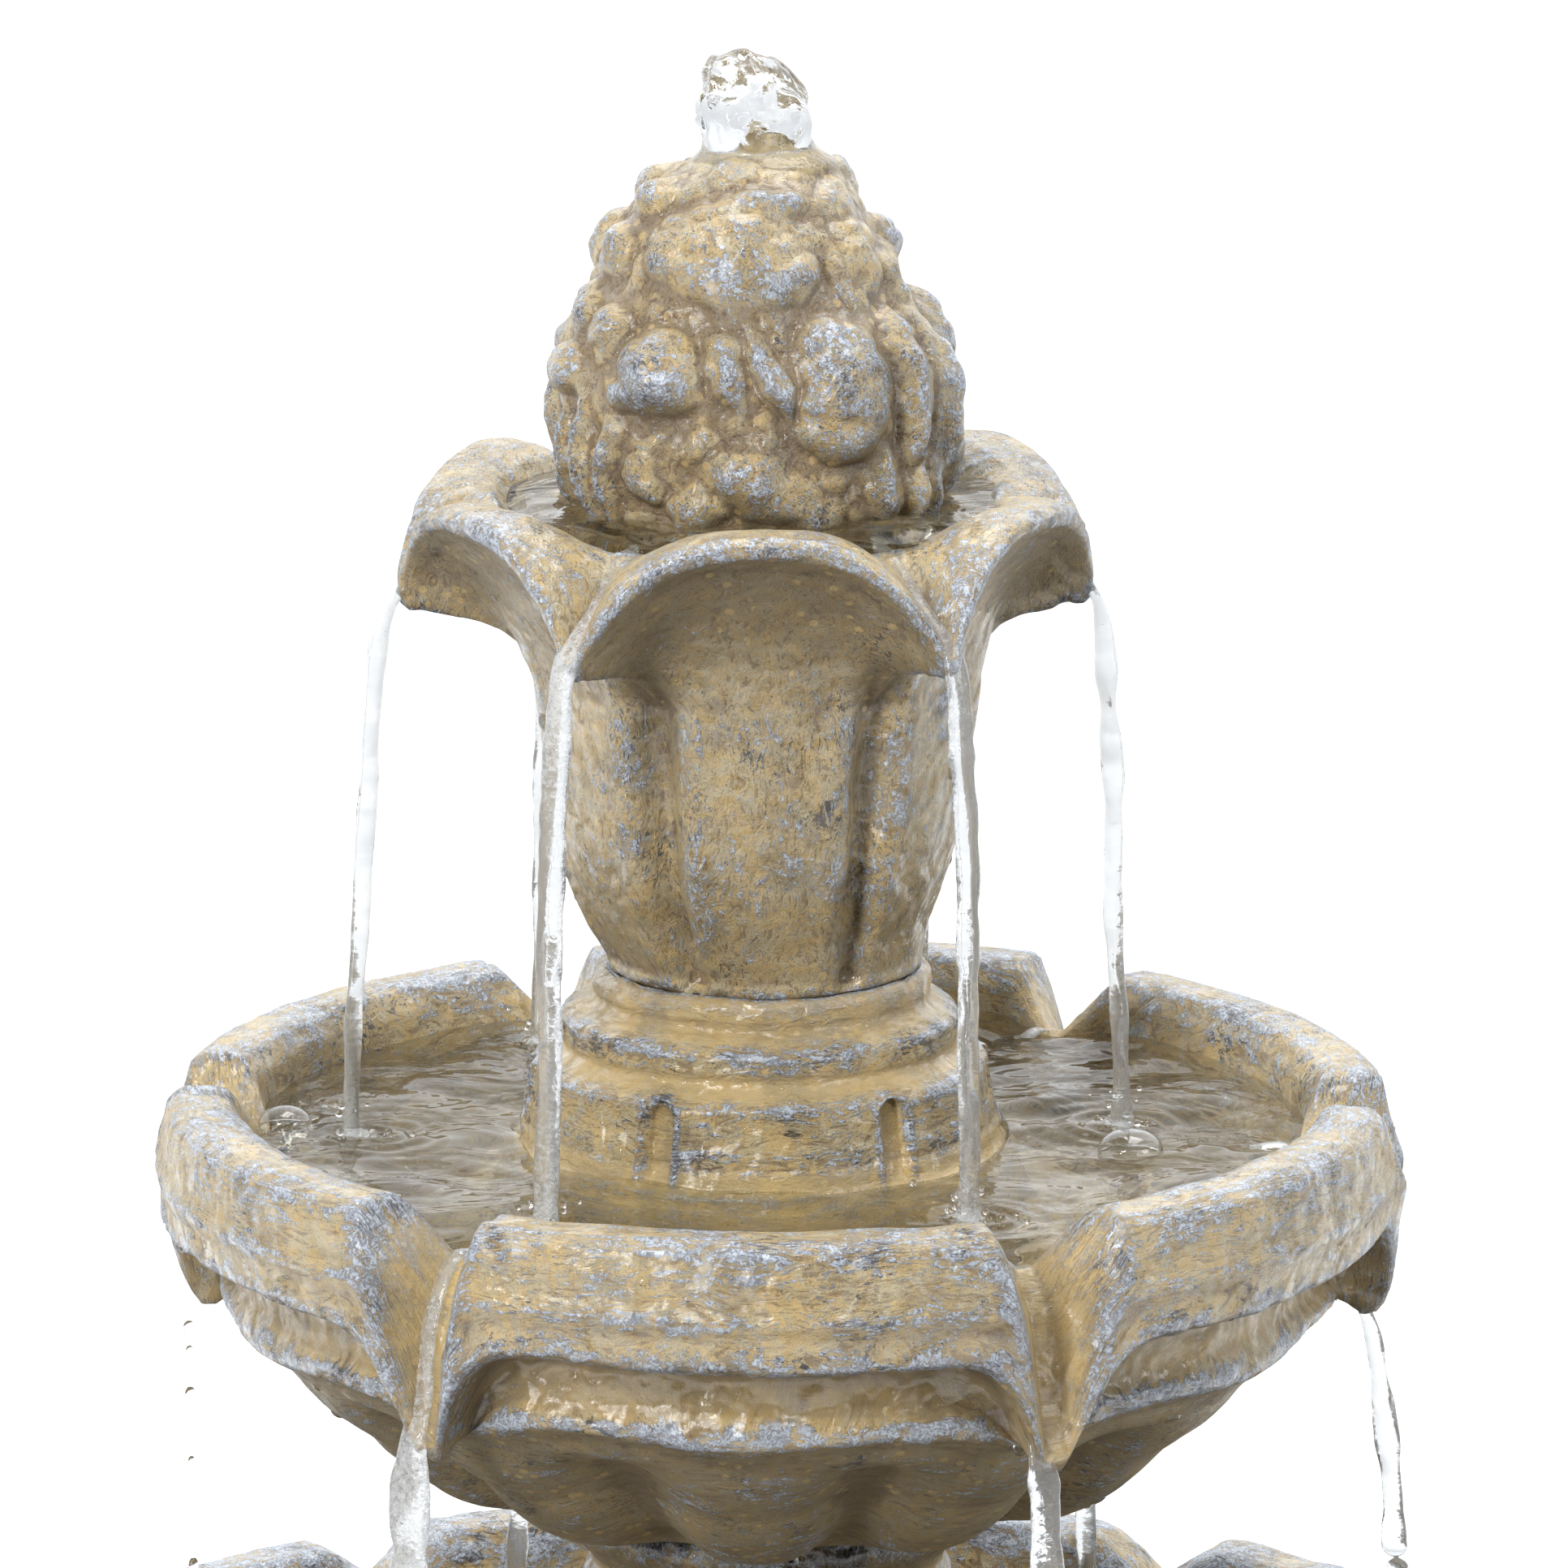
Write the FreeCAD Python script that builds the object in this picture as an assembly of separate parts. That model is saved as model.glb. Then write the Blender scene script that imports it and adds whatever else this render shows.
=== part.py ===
"""Tiered garden fountain: a pedestal, three cast basins on a column, a finial and the pump inside.

Lengths are millimetres and angles are degrees, counter-clockwise from +X seen from above.
The origin is on the floor under the fountain's centre line. +Z is up and the front faces -Y.
Water is drawn from the lower basin, pumped up one straight tube to the finial's nozzle,
and runs back down over the spouts of the top bowl and of the middle basin.
"""
import FreeCAD, Part
import math
import os

Vector = FreeCAD.Vector
ORIGIN = Vector(0, 0, 0)
UP = Vector(0, 0, 1)
BACKWARDS = Vector(0, 1, 0)

# Faces where one piece stands on the next, as heights above the floor
PEDESTAL_FOOT = 3
PEDESTAL_TOP = 186
LOWER_FLOOR = 225
COLUMN_TOP = 463
MIDDLE_FLOOR = 515
URN_SEAT = 650
PLINTH_TOP = 659
BOWL_FLOOR = 815
FINIAL_TOP = 961

# Rims and feet
PEDESTAL_RADIUS = 150
LOWER_RIM = 345
LOWER_RADIUS = 345
COLUMN_FOOT_RADIUS = 118
CAPITAL_RADIUS = 83
MIDDLE_RIM = 615
MIDDLE_RADIUS = 226
PLINTH_RADIUS = 100
BOWL_CREST = 846
BOWL_RADIUS = 130

# Each rim has this many lobes, and a spout or notch between each pair at these turns
LOBES = 6
LOWER_TURN = 0
MIDDLE_TURN = -4
BOWL_TURN = 3
NICHE_TURN = 7.5

# Riser tube and the seals that it passes through
TUBE_RADIUS = 8
TUBE_BORE = 6.35
TUBE_BOTTOM = 297
TUBE_TOP = 885
SEAL_HOLE = 14
SEAL_FLANGE = 19
SEAL_LIP = 4
SLIDING_GAP = 0.08

# Pump: its shaft lies along Y, straight under the riser tube
SHAFT_HEIGHT = 262
SHAFT_RADIUS = 1.5
RUNNING_GAP = 0.06
PUMP_BOTTOM = 236
PUMP_HALF_WIDTH = 25
PUMP_WALL = 2.5
MOTOR_TOP = 302
MOTOR_FRONT = 9
MOTOR_BACK = 51
VOLUTE_RADIUS = 25
VOLUTE_FRONT = -9
CHAMBER_RADIUS = 19.5
WELL_RADIUS = 10.5
WELL_END = 46
MAGNET_RADIUS = 9.2
OUTLET_RADIUS = 6.3
COVER_FRONT = -34
CABLE_RADIUS = 3.5

# Small fittings in the lower basin
DRAIN_DISTANCE = 168
DRAIN_TURN = 100
DRAIN_RADIUS = 12
CORD_HOLE_HEIGHT = 329
CORD_HOLE_RADIUS = 8
PADS = 6
PAD_RADIUS = 10
PAD_CIRCLE = 138


def in_section(radius, height):
    return Vector(radius, 0, height)


def outline(start, *steps):
    """A closed face in the XZ plane. A step is a corner, or a (through, end) pair for an arc."""
    edges = []
    here = start
    for step in steps:
        if isinstance(step[0], tuple):
            through, end = step
            edges.append(Part.Arc(in_section(*here), in_section(*through), in_section(*end)).toShape())
        else:
            end = step
            edges.append(Part.LineSegment(in_section(*here), in_section(*end)).toShape())
        here = end
    edges.append(Part.LineSegment(in_section(*here), in_section(*start)).toShape())
    return Part.Face(Part.Wire(edges))


def turned(start, *steps):
    """A solid of revolution about the fountain's centre line, from (radius, height) steps."""
    return outline(start, *steps).revolve(ORIGIN, UP, 360)


def turned_in_pump(start, *steps):
    """A solid of revolution about the pump's shaft, from (radius, distance backwards) steps."""
    solid = turned(start, *steps)
    solid.rotate(ORIGIN, Vector(1, 0, 0), -90)
    solid.translate(Vector(0, 0, SHAFT_HEIGHT))
    return solid


def rod(radius, bottom, top, x=0, y=0):
    """An upright cylinder between two heights."""
    return Part.makeCylinder(radius, top - bottom, Vector(x, y, bottom), UP)


def pump_rod(radius, front, back, x=0, z=SHAFT_HEIGHT):
    """A cylinder that runs backwards between two distances."""
    return Part.makeCylinder(radius, back - front, Vector(x, front, z), BACKWARDS)


def block(low, high):
    size = Vector(*high) - Vector(*low)
    return Part.makeBox(size.x, size.y, size.z, Vector(*low))


def spun(shape, angle):
    copy = shape.copy()
    copy.rotate(ORIGIN, UP, angle)
    return copy


def around(shape, count, turn=0):
    """Copies of a shape at even steps round the centre line."""
    return [spun(shape, turn + 360 * step / count) for step in range(count)]


def wedge(*sections):
    """A solid through level trapezoids: (height, inner radius, inner half width, outer radius, outer half width)."""
    wires = []
    for height, near, near_half, far, far_half in sections:
        corners = [Vector(near, -near_half, height), Vector(far, -far_half, height),
                   Vector(far, far_half, height), Vector(near, near_half, height)]
        wires.append(Part.makePolygon(corners + corners[:1]))
    return Part.makeLoft(wires, True, True)


def joined(body, *others):
    return body.fuse(list(others)).removeSplitter()


def foot_pads():
    pad = rod(PAD_RADIUS, 0, PEDESTAL_FOOT, x=PAD_CIRCLE)
    return Part.makeCompound(around(pad, PADS, 30))


def base_pedestal():
    """A hollow turned foot: a square plinth, a round bead, a waist and a flared seat."""
    return turned(
        (PEDESTAL_RADIUS, PEDESTAL_FOOT), (PEDESTAL_RADIUS, 34), (143, 40), (132, 44),
        ((140, 54), (130, 64)), (116, 70), ((96, 110), (104, 150)), (128, 178),
        (128, PEDESTAL_TOP), (112, PEDESTAL_TOP), (112, 170), (92, 150), ((84, 110), (104, 72)),
        (116, 60), (118, 44), (126, 30), (126, PEDESTAL_FOOT))


def lower_basin():
    """The catch basin, located in the pedestal by a round spigot, with six shallow notches."""
    spigot = 111.5
    under_floor = LOWER_FLOOR - 15
    bowl = turned(
        (0, under_floor), (spigot - 16, under_floor), (spigot - 13, PEDESTAL_TOP - 10),
        (spigot, PEDESTAL_TOP - 10), (spigot, PEDESTAL_TOP), (132, PEDESTAL_TOP),
        ((245, 212), (322, 282)), (338, 284), (LOWER_RADIUS, 300), (LOWER_RADIUS, 338),
        (340, LOWER_RIM), (318, LOWER_RIM), (312, 338), (306, 300),
        ((285, 252), (232, LOWER_FLOOR)), (0, LOWER_FLOOR))
    notch = wedge((LOWER_RIM + 2, 295, 12, 355, 20), (LOWER_RIM - 23, 318, 5, 355, 9))
    drain = spun(rod(DRAIN_RADIUS, PEDESTAL_TOP - 16, LOWER_RIM, x=DRAIN_DISTANCE), DRAIN_TURN)
    cord_hole = pump_rod(CORD_HOLE_RADIUS, 290, LOWER_RADIUS + 5, z=CORD_HOLE_HEIGHT)
    flange_seat = pump_rod(CORD_HOLE_RADIUS + 3.5, LOWER_RADIUS - 3.5, LOWER_RADIUS + 5, z=CORD_HOLE_HEIGHT)
    return bowl.cut(around(notch, LOBES, LOWER_TURN) + [drain, cord_hole, flange_seat])


def drain_plug():
    """A rubber stopper with a flange on the pool floor and a finger tab."""
    stopper = turned((0, LOWER_FLOOR - 20), (10.5, LOWER_FLOOR - 20), (DRAIN_RADIUS - 0.05, LOWER_FLOOR - 16),
                     (DRAIN_RADIUS - 0.05, LOWER_FLOOR), (17, LOWER_FLOOR), (17, LOWER_FLOOR + 3),
                     (0, LOWER_FLOOR + 3))
    tab = block((-6, -1.5, LOWER_FLOOR + 2), (6, 1.5, LOWER_FLOOR + 12))
    stopper = joined(stopper, tab)
    stopper.translate(Vector(DRAIN_DISTANCE, 0, 0))
    return spun(stopper, DRAIN_TURN)


def cord_grommet():
    """A rubber ring in the back wall, where the pump's cord would leave above the water."""
    inner_face = 308
    outer_face = LOWER_RADIUS - 3.5
    ring = pump_rod(CORD_HOLE_RADIUS, inner_face, outer_face, z=CORD_HOLE_HEIGHT)
    inner_flange = pump_rod(CORD_HOLE_RADIUS + 3, inner_face - 3, inner_face, z=CORD_HOLE_HEIGHT)
    outer_flange = pump_rod(CORD_HOLE_RADIUS + 3, outer_face, outer_face + 3, z=CORD_HOLE_HEIGHT)
    bore = pump_rod(CABLE_RADIUS, inner_face - 4, outer_face + 4, z=CORD_HOLE_HEIGHT)
    return joined(ring, inner_flange, outer_flange).cut(bore)


def column():
    """The lower shaft: a moulded foot over the pump, a waist, a flared capital and a top spigot."""
    chamber_radius = 88
    chamber_top = 290
    bore = 42
    spigot = 60
    shaft = turned(
        (COLUMN_FOOT_RADIUS, LOWER_FLOOR), (COLUMN_FOOT_RADIUS, 262), (108, 268), ((114, 276), (108, 284)),
        (96, 298), (84, 312), ((57, 390), (62, 420)), (CAPITAL_RADIUS, 452), (CAPITAL_RADIUS, COLUMN_TOP),
        (spigot, COLUMN_TOP), (spigot, COLUMN_TOP + 8), (bore, COLUMN_TOP + 8), (bore, 330),
        (chamber_radius, chamber_top), (chamber_radius, LOWER_FLOOR))
    port_half = 16
    port_shoulder = LOWER_FLOOR + 17
    port = block((70, -port_half, LOWER_FLOOR - 1), (COLUMN_FOOT_RADIUS + 5, port_half, port_shoulder))
    arch = Part.makeCylinder(port_half, COLUMN_FOOT_RADIUS - 65, Vector(70, 0, port_shoulder), Vector(1, 0, 0))
    return shaft.cut(around(port.fuse(arch), 4, 45))


def middle_basin():
    """The six-lobed basin. Each pair of lobes folds outwards into a deep V spout."""
    socket = 61
    socket_top = COLUMN_TOP + 27
    bowl = turned(
        (socket, COLUMN_TOP), (86, COLUMN_TOP), ((150, 485), (194, 531)), (206, 538), (204, 545), (200, 566),
        (214, 571), (222, 573), (225, 585), (MIDDLE_RADIUS, 592), (223, 597), (224, 610),
        (220, MIDDLE_RIM), (200, MIDDLE_RIM), (198, 612), (194, 585), ((180, 540), (140, MIDDLE_FLOOR)),
        (SEAL_HOLE, MIDDLE_FLOOR), (SEAL_HOLE, socket_top), (socket, socket_top))
    spout = wedge((MIDDLE_RIM, 190, 36, 228, 36), (MIDDLE_RIM - 44, 190, 27, 228, 27),
                  (MIDDLE_RIM - 93, 214, 12, 229, 12))
    channel = wedge((MIDDLE_RIM + 2, 178, 18, 235, 24), (MIDDLE_RIM - 23, 190, 12, 235, 18),
                    (MIDDLE_RIM - 92, 221, 5, 235, 8))
    inside = turned((0, MIDDLE_FLOOR), (140, MIDDLE_FLOOR), ((180, 540), (194, 585)), (198, 612),
                    (200, MIDDLE_RIM), (0, MIDDLE_RIM))
    fins = [fin.cut(inside) for fin in around(spout, LOBES, MIDDLE_TURN)]
    return joined(bowl, *fins).cut(around(channel, LOBES, MIDDLE_TURN))


def tube_seal(under, top):
    """A rubber grommet that seals the riser tube in a basin's floor."""
    bore = TUBE_RADIUS + SLIDING_GAP
    return turned((bore, under - SEAL_LIP), (SEAL_FLANGE, under - SEAL_LIP), (SEAL_FLANGE, under),
                  (SEAL_HOLE, under), (SEAL_HOLE, top), (SEAL_FLANGE, top), (SEAL_FLANGE, top + SEAL_LIP),
                  (bore, top + SEAL_LIP))


def upper_plinth():
    """Stepped rings that carry the urn, with six narrow niches in the lowest band."""
    recess = 55.5
    bore = 46
    rings = turned(
        (PLINTH_RADIUS, MIDDLE_FLOOR), (96, 580), (92, 597), ((86, 600), (84, 606)), (83, 622), ((82, 627), (75, 629)),
        (73, 634), ((73, 642), (69, 645)), (64, 648), ((63, 655), (57, PLINTH_TOP)), (recess, PLINTH_TOP),
        (recess, URN_SEAT), (bore, URN_SEAT), (bore, MIDDLE_FLOOR))
    niche = block((80, -4, 602), (95, 4, 624))
    return rings.cut(around(niche, LOBES, NICHE_TURN))


def urn():
    """The urn and its flower-shaped bowl in one casting: six petals, six V spouts and a flute under each."""
    cavity = 47
    under_floor = BOWL_FLOOR - 15
    body = turned(
        (55, URN_SEAT), (55, 661), ((58, 668), (64, 685)), ((73, 716), (77, 748)), (84, 785),
        ((98, 815), (122, 834)), (126, 838), (125, 843), (114, BOWL_CREST), (104, 843), (92, 830),
        (86, BOWL_FLOOR), (SEAL_HOLE, BOWL_FLOOR), (SEAL_HOLE, under_floor), (SEAL_FLANGE + 3, under_floor),
        (cavity, under_floor - 8),
        (cavity, URN_SEAT))
    keel = wedge((836, 92, 20, 126, 22), (800, 80, 9, 129, 9), (785, 76, 5, BOWL_RADIUS, 5))
    keel_clear = turned((0, BOWL_FLOOR), (86, BOWL_FLOOR), (92, 830), (104, 843), (0, 843))
    mouth = wedge((BOWL_CREST + 4, 80, 34, 142, 60), (831, 88, 14, 142, 42), (786, 124, 3, 142, 8))
    flute = wedge((782, 76, 5, 90, 8), (730, 70, 5, 90, 9), (676, 57, 4, 90, 6))
    keels = [fin.cut(keel_clear) for fin in around(keel, LOBES, BOWL_TURN)]
    return joined(body.cut(around(flute, LOBES, BOWL_TURN)), *keels).cut(around(mouth, LOBES, BOWL_TURN))


def finial():
    """A hollow dome of leaves and buds that hides the nozzle."""
    dome = turned(
        (62, BOWL_FLOOR), (70, 845), ((73, 868), (68, 893)), (56, 922), ((40, 948), (22, FINIAL_TOP)),
        (13.2, FINIAL_TOP), (13.2, FINIAL_TOP - 7), (TUBE_RADIUS, FINIAL_TOP - 7), (TUBE_RADIUS, 936),
        (20, 930), (44, 900), (44, BOWL_FLOOR))
    bud_rows = [(842, 62, 15, 8, 12), (874, 61, 18, 7, 30), (908, 50, 16, 7, 5), (937, 31, 13, 5, 20)]
    hollow = turned((0, BOWL_FLOOR - 20), (44, BOWL_FLOOR - 20), (44, 900), (20, 930), (0, 930))
    buds = []
    for height, distance, radius, count, turn in bud_rows:
        bud = Part.makeSphere(radius, Vector(distance, 0, height))
        buds += [ball.cut(hollow) for ball in around(bud, count, turn)]
    below = rod(120, BOWL_FLOOR - 60, BOWL_FLOOR)
    return joined(dome, *buds).cut(below)


def nozzle():
    """The bubbler: a flanged jet that seats in the finial and plugs into the riser tube."""
    flange = FINIAL_TOP - 7
    return turned(
        (4.5, 866), (TUBE_BORE - 0.05, 866), (TUBE_BORE - 0.05, TUBE_TOP + 0.2), (TUBE_RADIUS - 0.1, TUBE_TOP + 0.2),
        (TUBE_RADIUS - 0.1, flange), (13, flange), (13, flange + 4), (8, FINIAL_TOP), (6.5, FINIAL_TOP + 4),
        (4.5, FINIAL_TOP + 4))


def riser_tube():
    return turned((TUBE_BORE, TUBE_BOTTOM), (TUBE_RADIUS, TUBE_BOTTOM), (TUBE_RADIUS, TUBE_TOP),
                  (TUBE_BORE, TUBE_TOP))


def pump_body():
    """Motor block and volute in one moulding: a wet chamber in front, a dry pocket behind."""
    motor = block((-PUMP_HALF_WIDTH, MOTOR_FRONT, PUMP_BOTTOM), (PUMP_HALF_WIDTH, MOTOR_BACK, MOTOR_TOP))
    inner_half = PUMP_HALF_WIDTH - PUMP_WALL
    pocket = block((-inner_half, MOTOR_FRONT + 1.5, PUMP_BOTTOM + PUMP_WALL),
                   (inner_half, MOTOR_BACK, MOTOR_TOP - PUMP_WALL))
    volute = pump_rod(VOLUTE_RADIUS, VOLUTE_FRONT, MOTOR_FRONT)
    boss = rod(8.8, SHAFT_HEIGHT, 292)
    well_wall = pump_rod(WELL_RADIUS + 1.5, MOTOR_FRONT, WELL_END + 2)
    chamber = pump_rod(CHAMBER_RADIUS, VOLUTE_FRONT, MOTOR_FRONT - 2)
    well = pump_rod(WELL_RADIUS, MOTOR_FRONT - 3, WELL_END)
    outlet = rod(OUTLET_RADIUS, 284, 292).fuse(rod(5, SHAFT_HEIGHT, 290))
    seal_groove = turned_in_pump((21, VOLUTE_FRONT), (23.4, VOLUTE_FRONT), (23.4, VOLUTE_FRONT + 1.6),
                                 (21, VOLUTE_FRONT + 1.6))
    shell = joined(motor, volute, boss).cut(pocket)
    return joined(shell, well_wall).cut([chamber, well, outlet, seal_groove])


def stator_core():
    """A laminated iron yoke whose two poles hold the rotor's well between them."""
    front = 16
    back = 30
    leg_inner = 9
    leg_outer = 20
    yoke = block((-leg_outer, front, 285.5), (leg_outer, back, 292.5))
    legs = [block((side * leg_inner if side > 0 else -leg_outer, front, 252),
                  (leg_outer if side > 0 else -leg_inner, back, 288)) for side in (-1, 1)]
    window = block((-12.4, front - 1, 274.5), (12.4, back + 1, 285.5))
    well_gap = pump_rod(WELL_RADIUS + 1.7, front - 1, back + 1)
    pole_gap = block((-10, front - 1, 251), (10, back + 1, 276))
    return joined(yoke, *legs).cut([window, well_gap, pole_gap])


def stator_coil():
    """The winding on the yoke, between the legs."""
    winding = block((-12, 11, 279), (12, 35, 298.5))
    yoke_space = block((-13, 16, 285.5), (13, 30, 292.5))
    return winding.cut(yoke_space)


def back_cap():
    """The cover of the dry pocket, with the cord's inlet boss."""
    inlet_height = 248
    plate = block((-PUMP_HALF_WIDTH, MOTOR_BACK, PUMP_BOTTOM), (PUMP_HALF_WIDTH, MOTOR_BACK + 3, MOTOR_TOP))
    boss = pump_rod(6.5, MOTOR_BACK + 2, MOTOR_BACK + 11, z=inlet_height)
    inlet = pump_rod(CABLE_RADIUS, MOTOR_BACK - 1, MOTOR_BACK + 12, z=inlet_height)
    return joined(plate, boss).cut(inlet)


def impeller_cover():
    """The front plate of the volute: an inlet eye and three arms that hold the front bush."""
    back = VOLUTE_FRONT
    front = VOLUTE_FRONT - 3
    plate = pump_rod(VOLUTE_RADIUS, front, back).cut(pump_rod(8, front - 1, back + 1))
    hub = pump_rod(4.2, front, back)
    arm = block((-1, front, SHAFT_HEIGHT), (1, back, SHAFT_HEIGHT + 9))
    arms = []
    for step in range(3):
        copy = arm.copy()
        copy.rotate(Vector(0, 0, SHAFT_HEIGHT), BACKWARDS, 120 * step)
        arms.append(copy)
    return joined(plate, hub, *arms).cut(pump_rod(3, front - 1, back + 1))


def cover_seal():
    return Part.makeTorus(22.2, 0.8, Vector(0, VOLUTE_FRONT + 0.8, SHAFT_HEIGHT), BACKWARDS)


def front_bush():
    return turned_in_pump((SHAFT_RADIUS, VOLUTE_FRONT - 3), (3, VOLUTE_FRONT - 3), (3, VOLUTE_FRONT),
                          (SHAFT_RADIUS, VOLUTE_FRONT))


def rear_bush():
    return turned_in_pump((SHAFT_RADIUS, WELL_END - 2), (5, WELL_END - 2), (5, WELL_END),
                          (SHAFT_RADIUS, WELL_END))


def impeller_shaft():
    return pump_rod(SHAFT_RADIUS, VOLUTE_FRONT - 2.5, WELL_END)


def impeller_wheel():
    """Six straight vanes on a hub, with a sleeve that carries the magnet."""
    bore = SHAFT_RADIUS + RUNNING_GAP
    hub = turned_in_pump((bore, -6), (6, -6), (6, 7.5), (4, 7.5), (4, WELL_END - 3), (bore, WELL_END - 3))
    vane = block((-0.8, -6, SHAFT_HEIGHT + 5), (0.8, 2, SHAFT_HEIGHT + 17))
    vanes = []
    for step in range(6):
        copy = vane.copy()
        copy.rotate(Vector(0, 0, SHAFT_HEIGHT), BACKWARDS, 60 * step)
        vanes.append(copy)
    return joined(hub, *vanes)


def rotor_magnet():
    return turned_in_pump((4, 7.5), (MAGNET_RADIUS, 7.5), (MAGNET_RADIUS, WELL_END - 4), (4, WELL_END - 4))


def intake_cover():
    """The slotted cap that slips over the volute and holds the filter foam."""
    inner = VOLUTE_RADIUS + RUNNING_GAP
    outer = inner + 2.4
    front = COVER_FRONT
    cap = turned_in_pump((0, front), (outer - 2, front), (outer, front + 2), (outer, -3), (inner, -3),
                         (inner, front + 2), (0, front + 2))
    slots = []
    for column_step in (-2, -1, 1, 2):
        centre = column_step * 7
        reach = math.sqrt(22 ** 2 - centre ** 2)
        slots.append(block((centre - 1.5, front - 1, SHAFT_HEIGHT - reach),
                           (centre + 1.5, front + 3, SHAFT_HEIGHT + reach)))
    pin_hole = pump_rod(2 + RUNNING_GAP, front - 1, front + 3)
    boss_notch = block((-9.2, VOLUTE_FRONT - 0.5, SHAFT_HEIGHT), (9.2, 0, SHAFT_HEIGHT + outer + 1))
    return cap.cut(slots + [pin_hole, boss_notch])


def filter_foam():
    return pump_rod(VOLUTE_RADIUS - 0.3, -31, -14)


def flow_dial():
    """A turning shutter on the cap's front, with two windows and a grip bar."""
    front = COVER_FRONT - 2.2
    back = COVER_FRONT - 0.2
    disc = pump_rod(18, front, back)
    pin = pump_rod(2, back - 1, COVER_FRONT + 2.4)
    grip = block((-1.5, front - 4, SHAFT_HEIGHT - 9), (1.5, front + 1, SHAFT_HEIGHT + 9))
    windows = [block((side * 10 - 3, front - 1, SHAFT_HEIGHT - 9), (side * 10 + 3, back + 1, SHAFT_HEIGHT + 9))
               for side in (-1, 1)]
    return joined(disc, pin, grip).cut(windows)


def outlet_adapter():
    """A flanged spigot between the pump's outlet and the riser tube."""
    return turned((4.8, 284), (OUTLET_RADIUS, 284), (OUTLET_RADIUS, 292), (8.8, 292), (8.8, 296),
                  (OUTLET_RADIUS, 296), (OUTLET_RADIUS, 318), (4.8, 318))


def hose_clamp():
    """A band round the tube's lower end, with two ears for its screw."""
    bottom = 303
    top = 311
    band = rod(TUBE_RADIUS + 1, bottom, top)
    ears = block((TUBE_RADIUS, -3, bottom), (15, 3, top))
    split = block((TUBE_RADIUS - 2, -0.6, bottom - 1), (16, 0.6, top + 1))
    screw_hole = pump_rod(1.5, -4, 4, x=12, z=(bottom + top) / 2)
    return joined(band, ears).cut([rod(TUBE_RADIUS, bottom - 1, top + 1), split, screw_hole])


def clamp_screw():
    height = 307
    head = pump_rod(2.8, -5.5, -3, x=12, z=height)
    slot = block((8, -6, height - 0.4), (16, -4.7, height + 0.4))
    return joined(head.cut(slot), pump_rod(1.5, -3.5, 5, x=12, z=height))


def suction_cups():
    """Four rubber feet that hold the pump to the pool floor."""
    cup = turned((0, LOWER_FLOOR + 1), (5, LOWER_FLOOR + 1), (8.5, LOWER_FLOOR), (9, LOWER_FLOOR + 0.8),
                 (4, LOWER_FLOOR + 5), (3.5, PUMP_BOTTOM), (0, PUMP_BOTTOM))
    cups = []
    for x in (-16, 16):
        for y in (19, 42):
            copy = cup.copy()
            copy.translate(Vector(x, y, 0))
            cups.append(copy)
    return Part.makeCompound(cups)


def cap_screws():
    """Four screws that hold the back cap to the motor block."""
    screws = []
    for x in (-19, 19):
        for z in (PUMP_BOTTOM + 4, MOTOR_TOP - 4):
            screws.append(pump_rod(2.4, MOTOR_BACK + 3, MOTOR_BACK + 4.6, x=x, z=z))
    return Part.makeCompound(screws)


def middle_grommet():
    return tube_seal(COLUMN_TOP + 27, MIDDLE_FLOOR)


def urn_grommet():
    return tube_seal(BOWL_FLOOR - 15, BOWL_FLOOR)


PIECES = [
    foot_pads, base_pedestal, lower_basin, drain_plug, cord_grommet, column, middle_basin, middle_grommet,
    upper_plinth, urn, urn_grommet, finial, nozzle, riser_tube, pump_body, stator_core, stator_coil, back_cap,
    cap_screws, impeller_cover, cover_seal, front_bush, rear_bush, impeller_shaft, impeller_wheel, rotor_magnet,
    intake_cover, filter_foam, flow_dial, outlet_adapter, hose_clamp, clamp_screw, suction_cups]


def main():
    os.makedirs("parts", exist_ok=True)
    for piece in PIECES:
        shape = piece()
        name = piece.__name__
        if not shape.isValid():
            raise ValueError(f"{name} is not a valid shape")
        shape.exportStep(f"parts/{name}.step")
        print(f"{name}: {len(shape.Solids)} solid(s), {shape.Volume / 1000:.1f} cm3")


main()
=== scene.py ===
"""Looks of the tiered fountain: weathered castings, running water and the pump, round the CAD frame.

Sizes in the tables of stations, lumps and streams are millimetres and degrees; meshes are made in metres.
Angles called facing are measured from the front (-Y) towards +X.
"""
import math
import bpy
import numpy as np
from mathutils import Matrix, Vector


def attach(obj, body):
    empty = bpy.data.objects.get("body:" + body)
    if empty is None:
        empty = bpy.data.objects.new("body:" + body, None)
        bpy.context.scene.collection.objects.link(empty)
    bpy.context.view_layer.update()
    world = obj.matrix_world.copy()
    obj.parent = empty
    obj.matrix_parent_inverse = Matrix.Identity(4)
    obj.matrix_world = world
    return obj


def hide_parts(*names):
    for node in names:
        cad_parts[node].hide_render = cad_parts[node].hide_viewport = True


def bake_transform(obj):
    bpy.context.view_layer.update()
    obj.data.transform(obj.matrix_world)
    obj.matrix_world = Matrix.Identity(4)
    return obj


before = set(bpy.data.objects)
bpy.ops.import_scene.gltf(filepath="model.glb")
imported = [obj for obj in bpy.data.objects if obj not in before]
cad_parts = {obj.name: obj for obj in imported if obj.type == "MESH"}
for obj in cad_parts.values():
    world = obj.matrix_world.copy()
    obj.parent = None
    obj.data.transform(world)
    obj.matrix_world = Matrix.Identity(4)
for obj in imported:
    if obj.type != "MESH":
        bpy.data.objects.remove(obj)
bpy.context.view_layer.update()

MM = 0.001
LOBES = 6
SECTOR = 2 * math.pi / LOBES
SEED = 7

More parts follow.
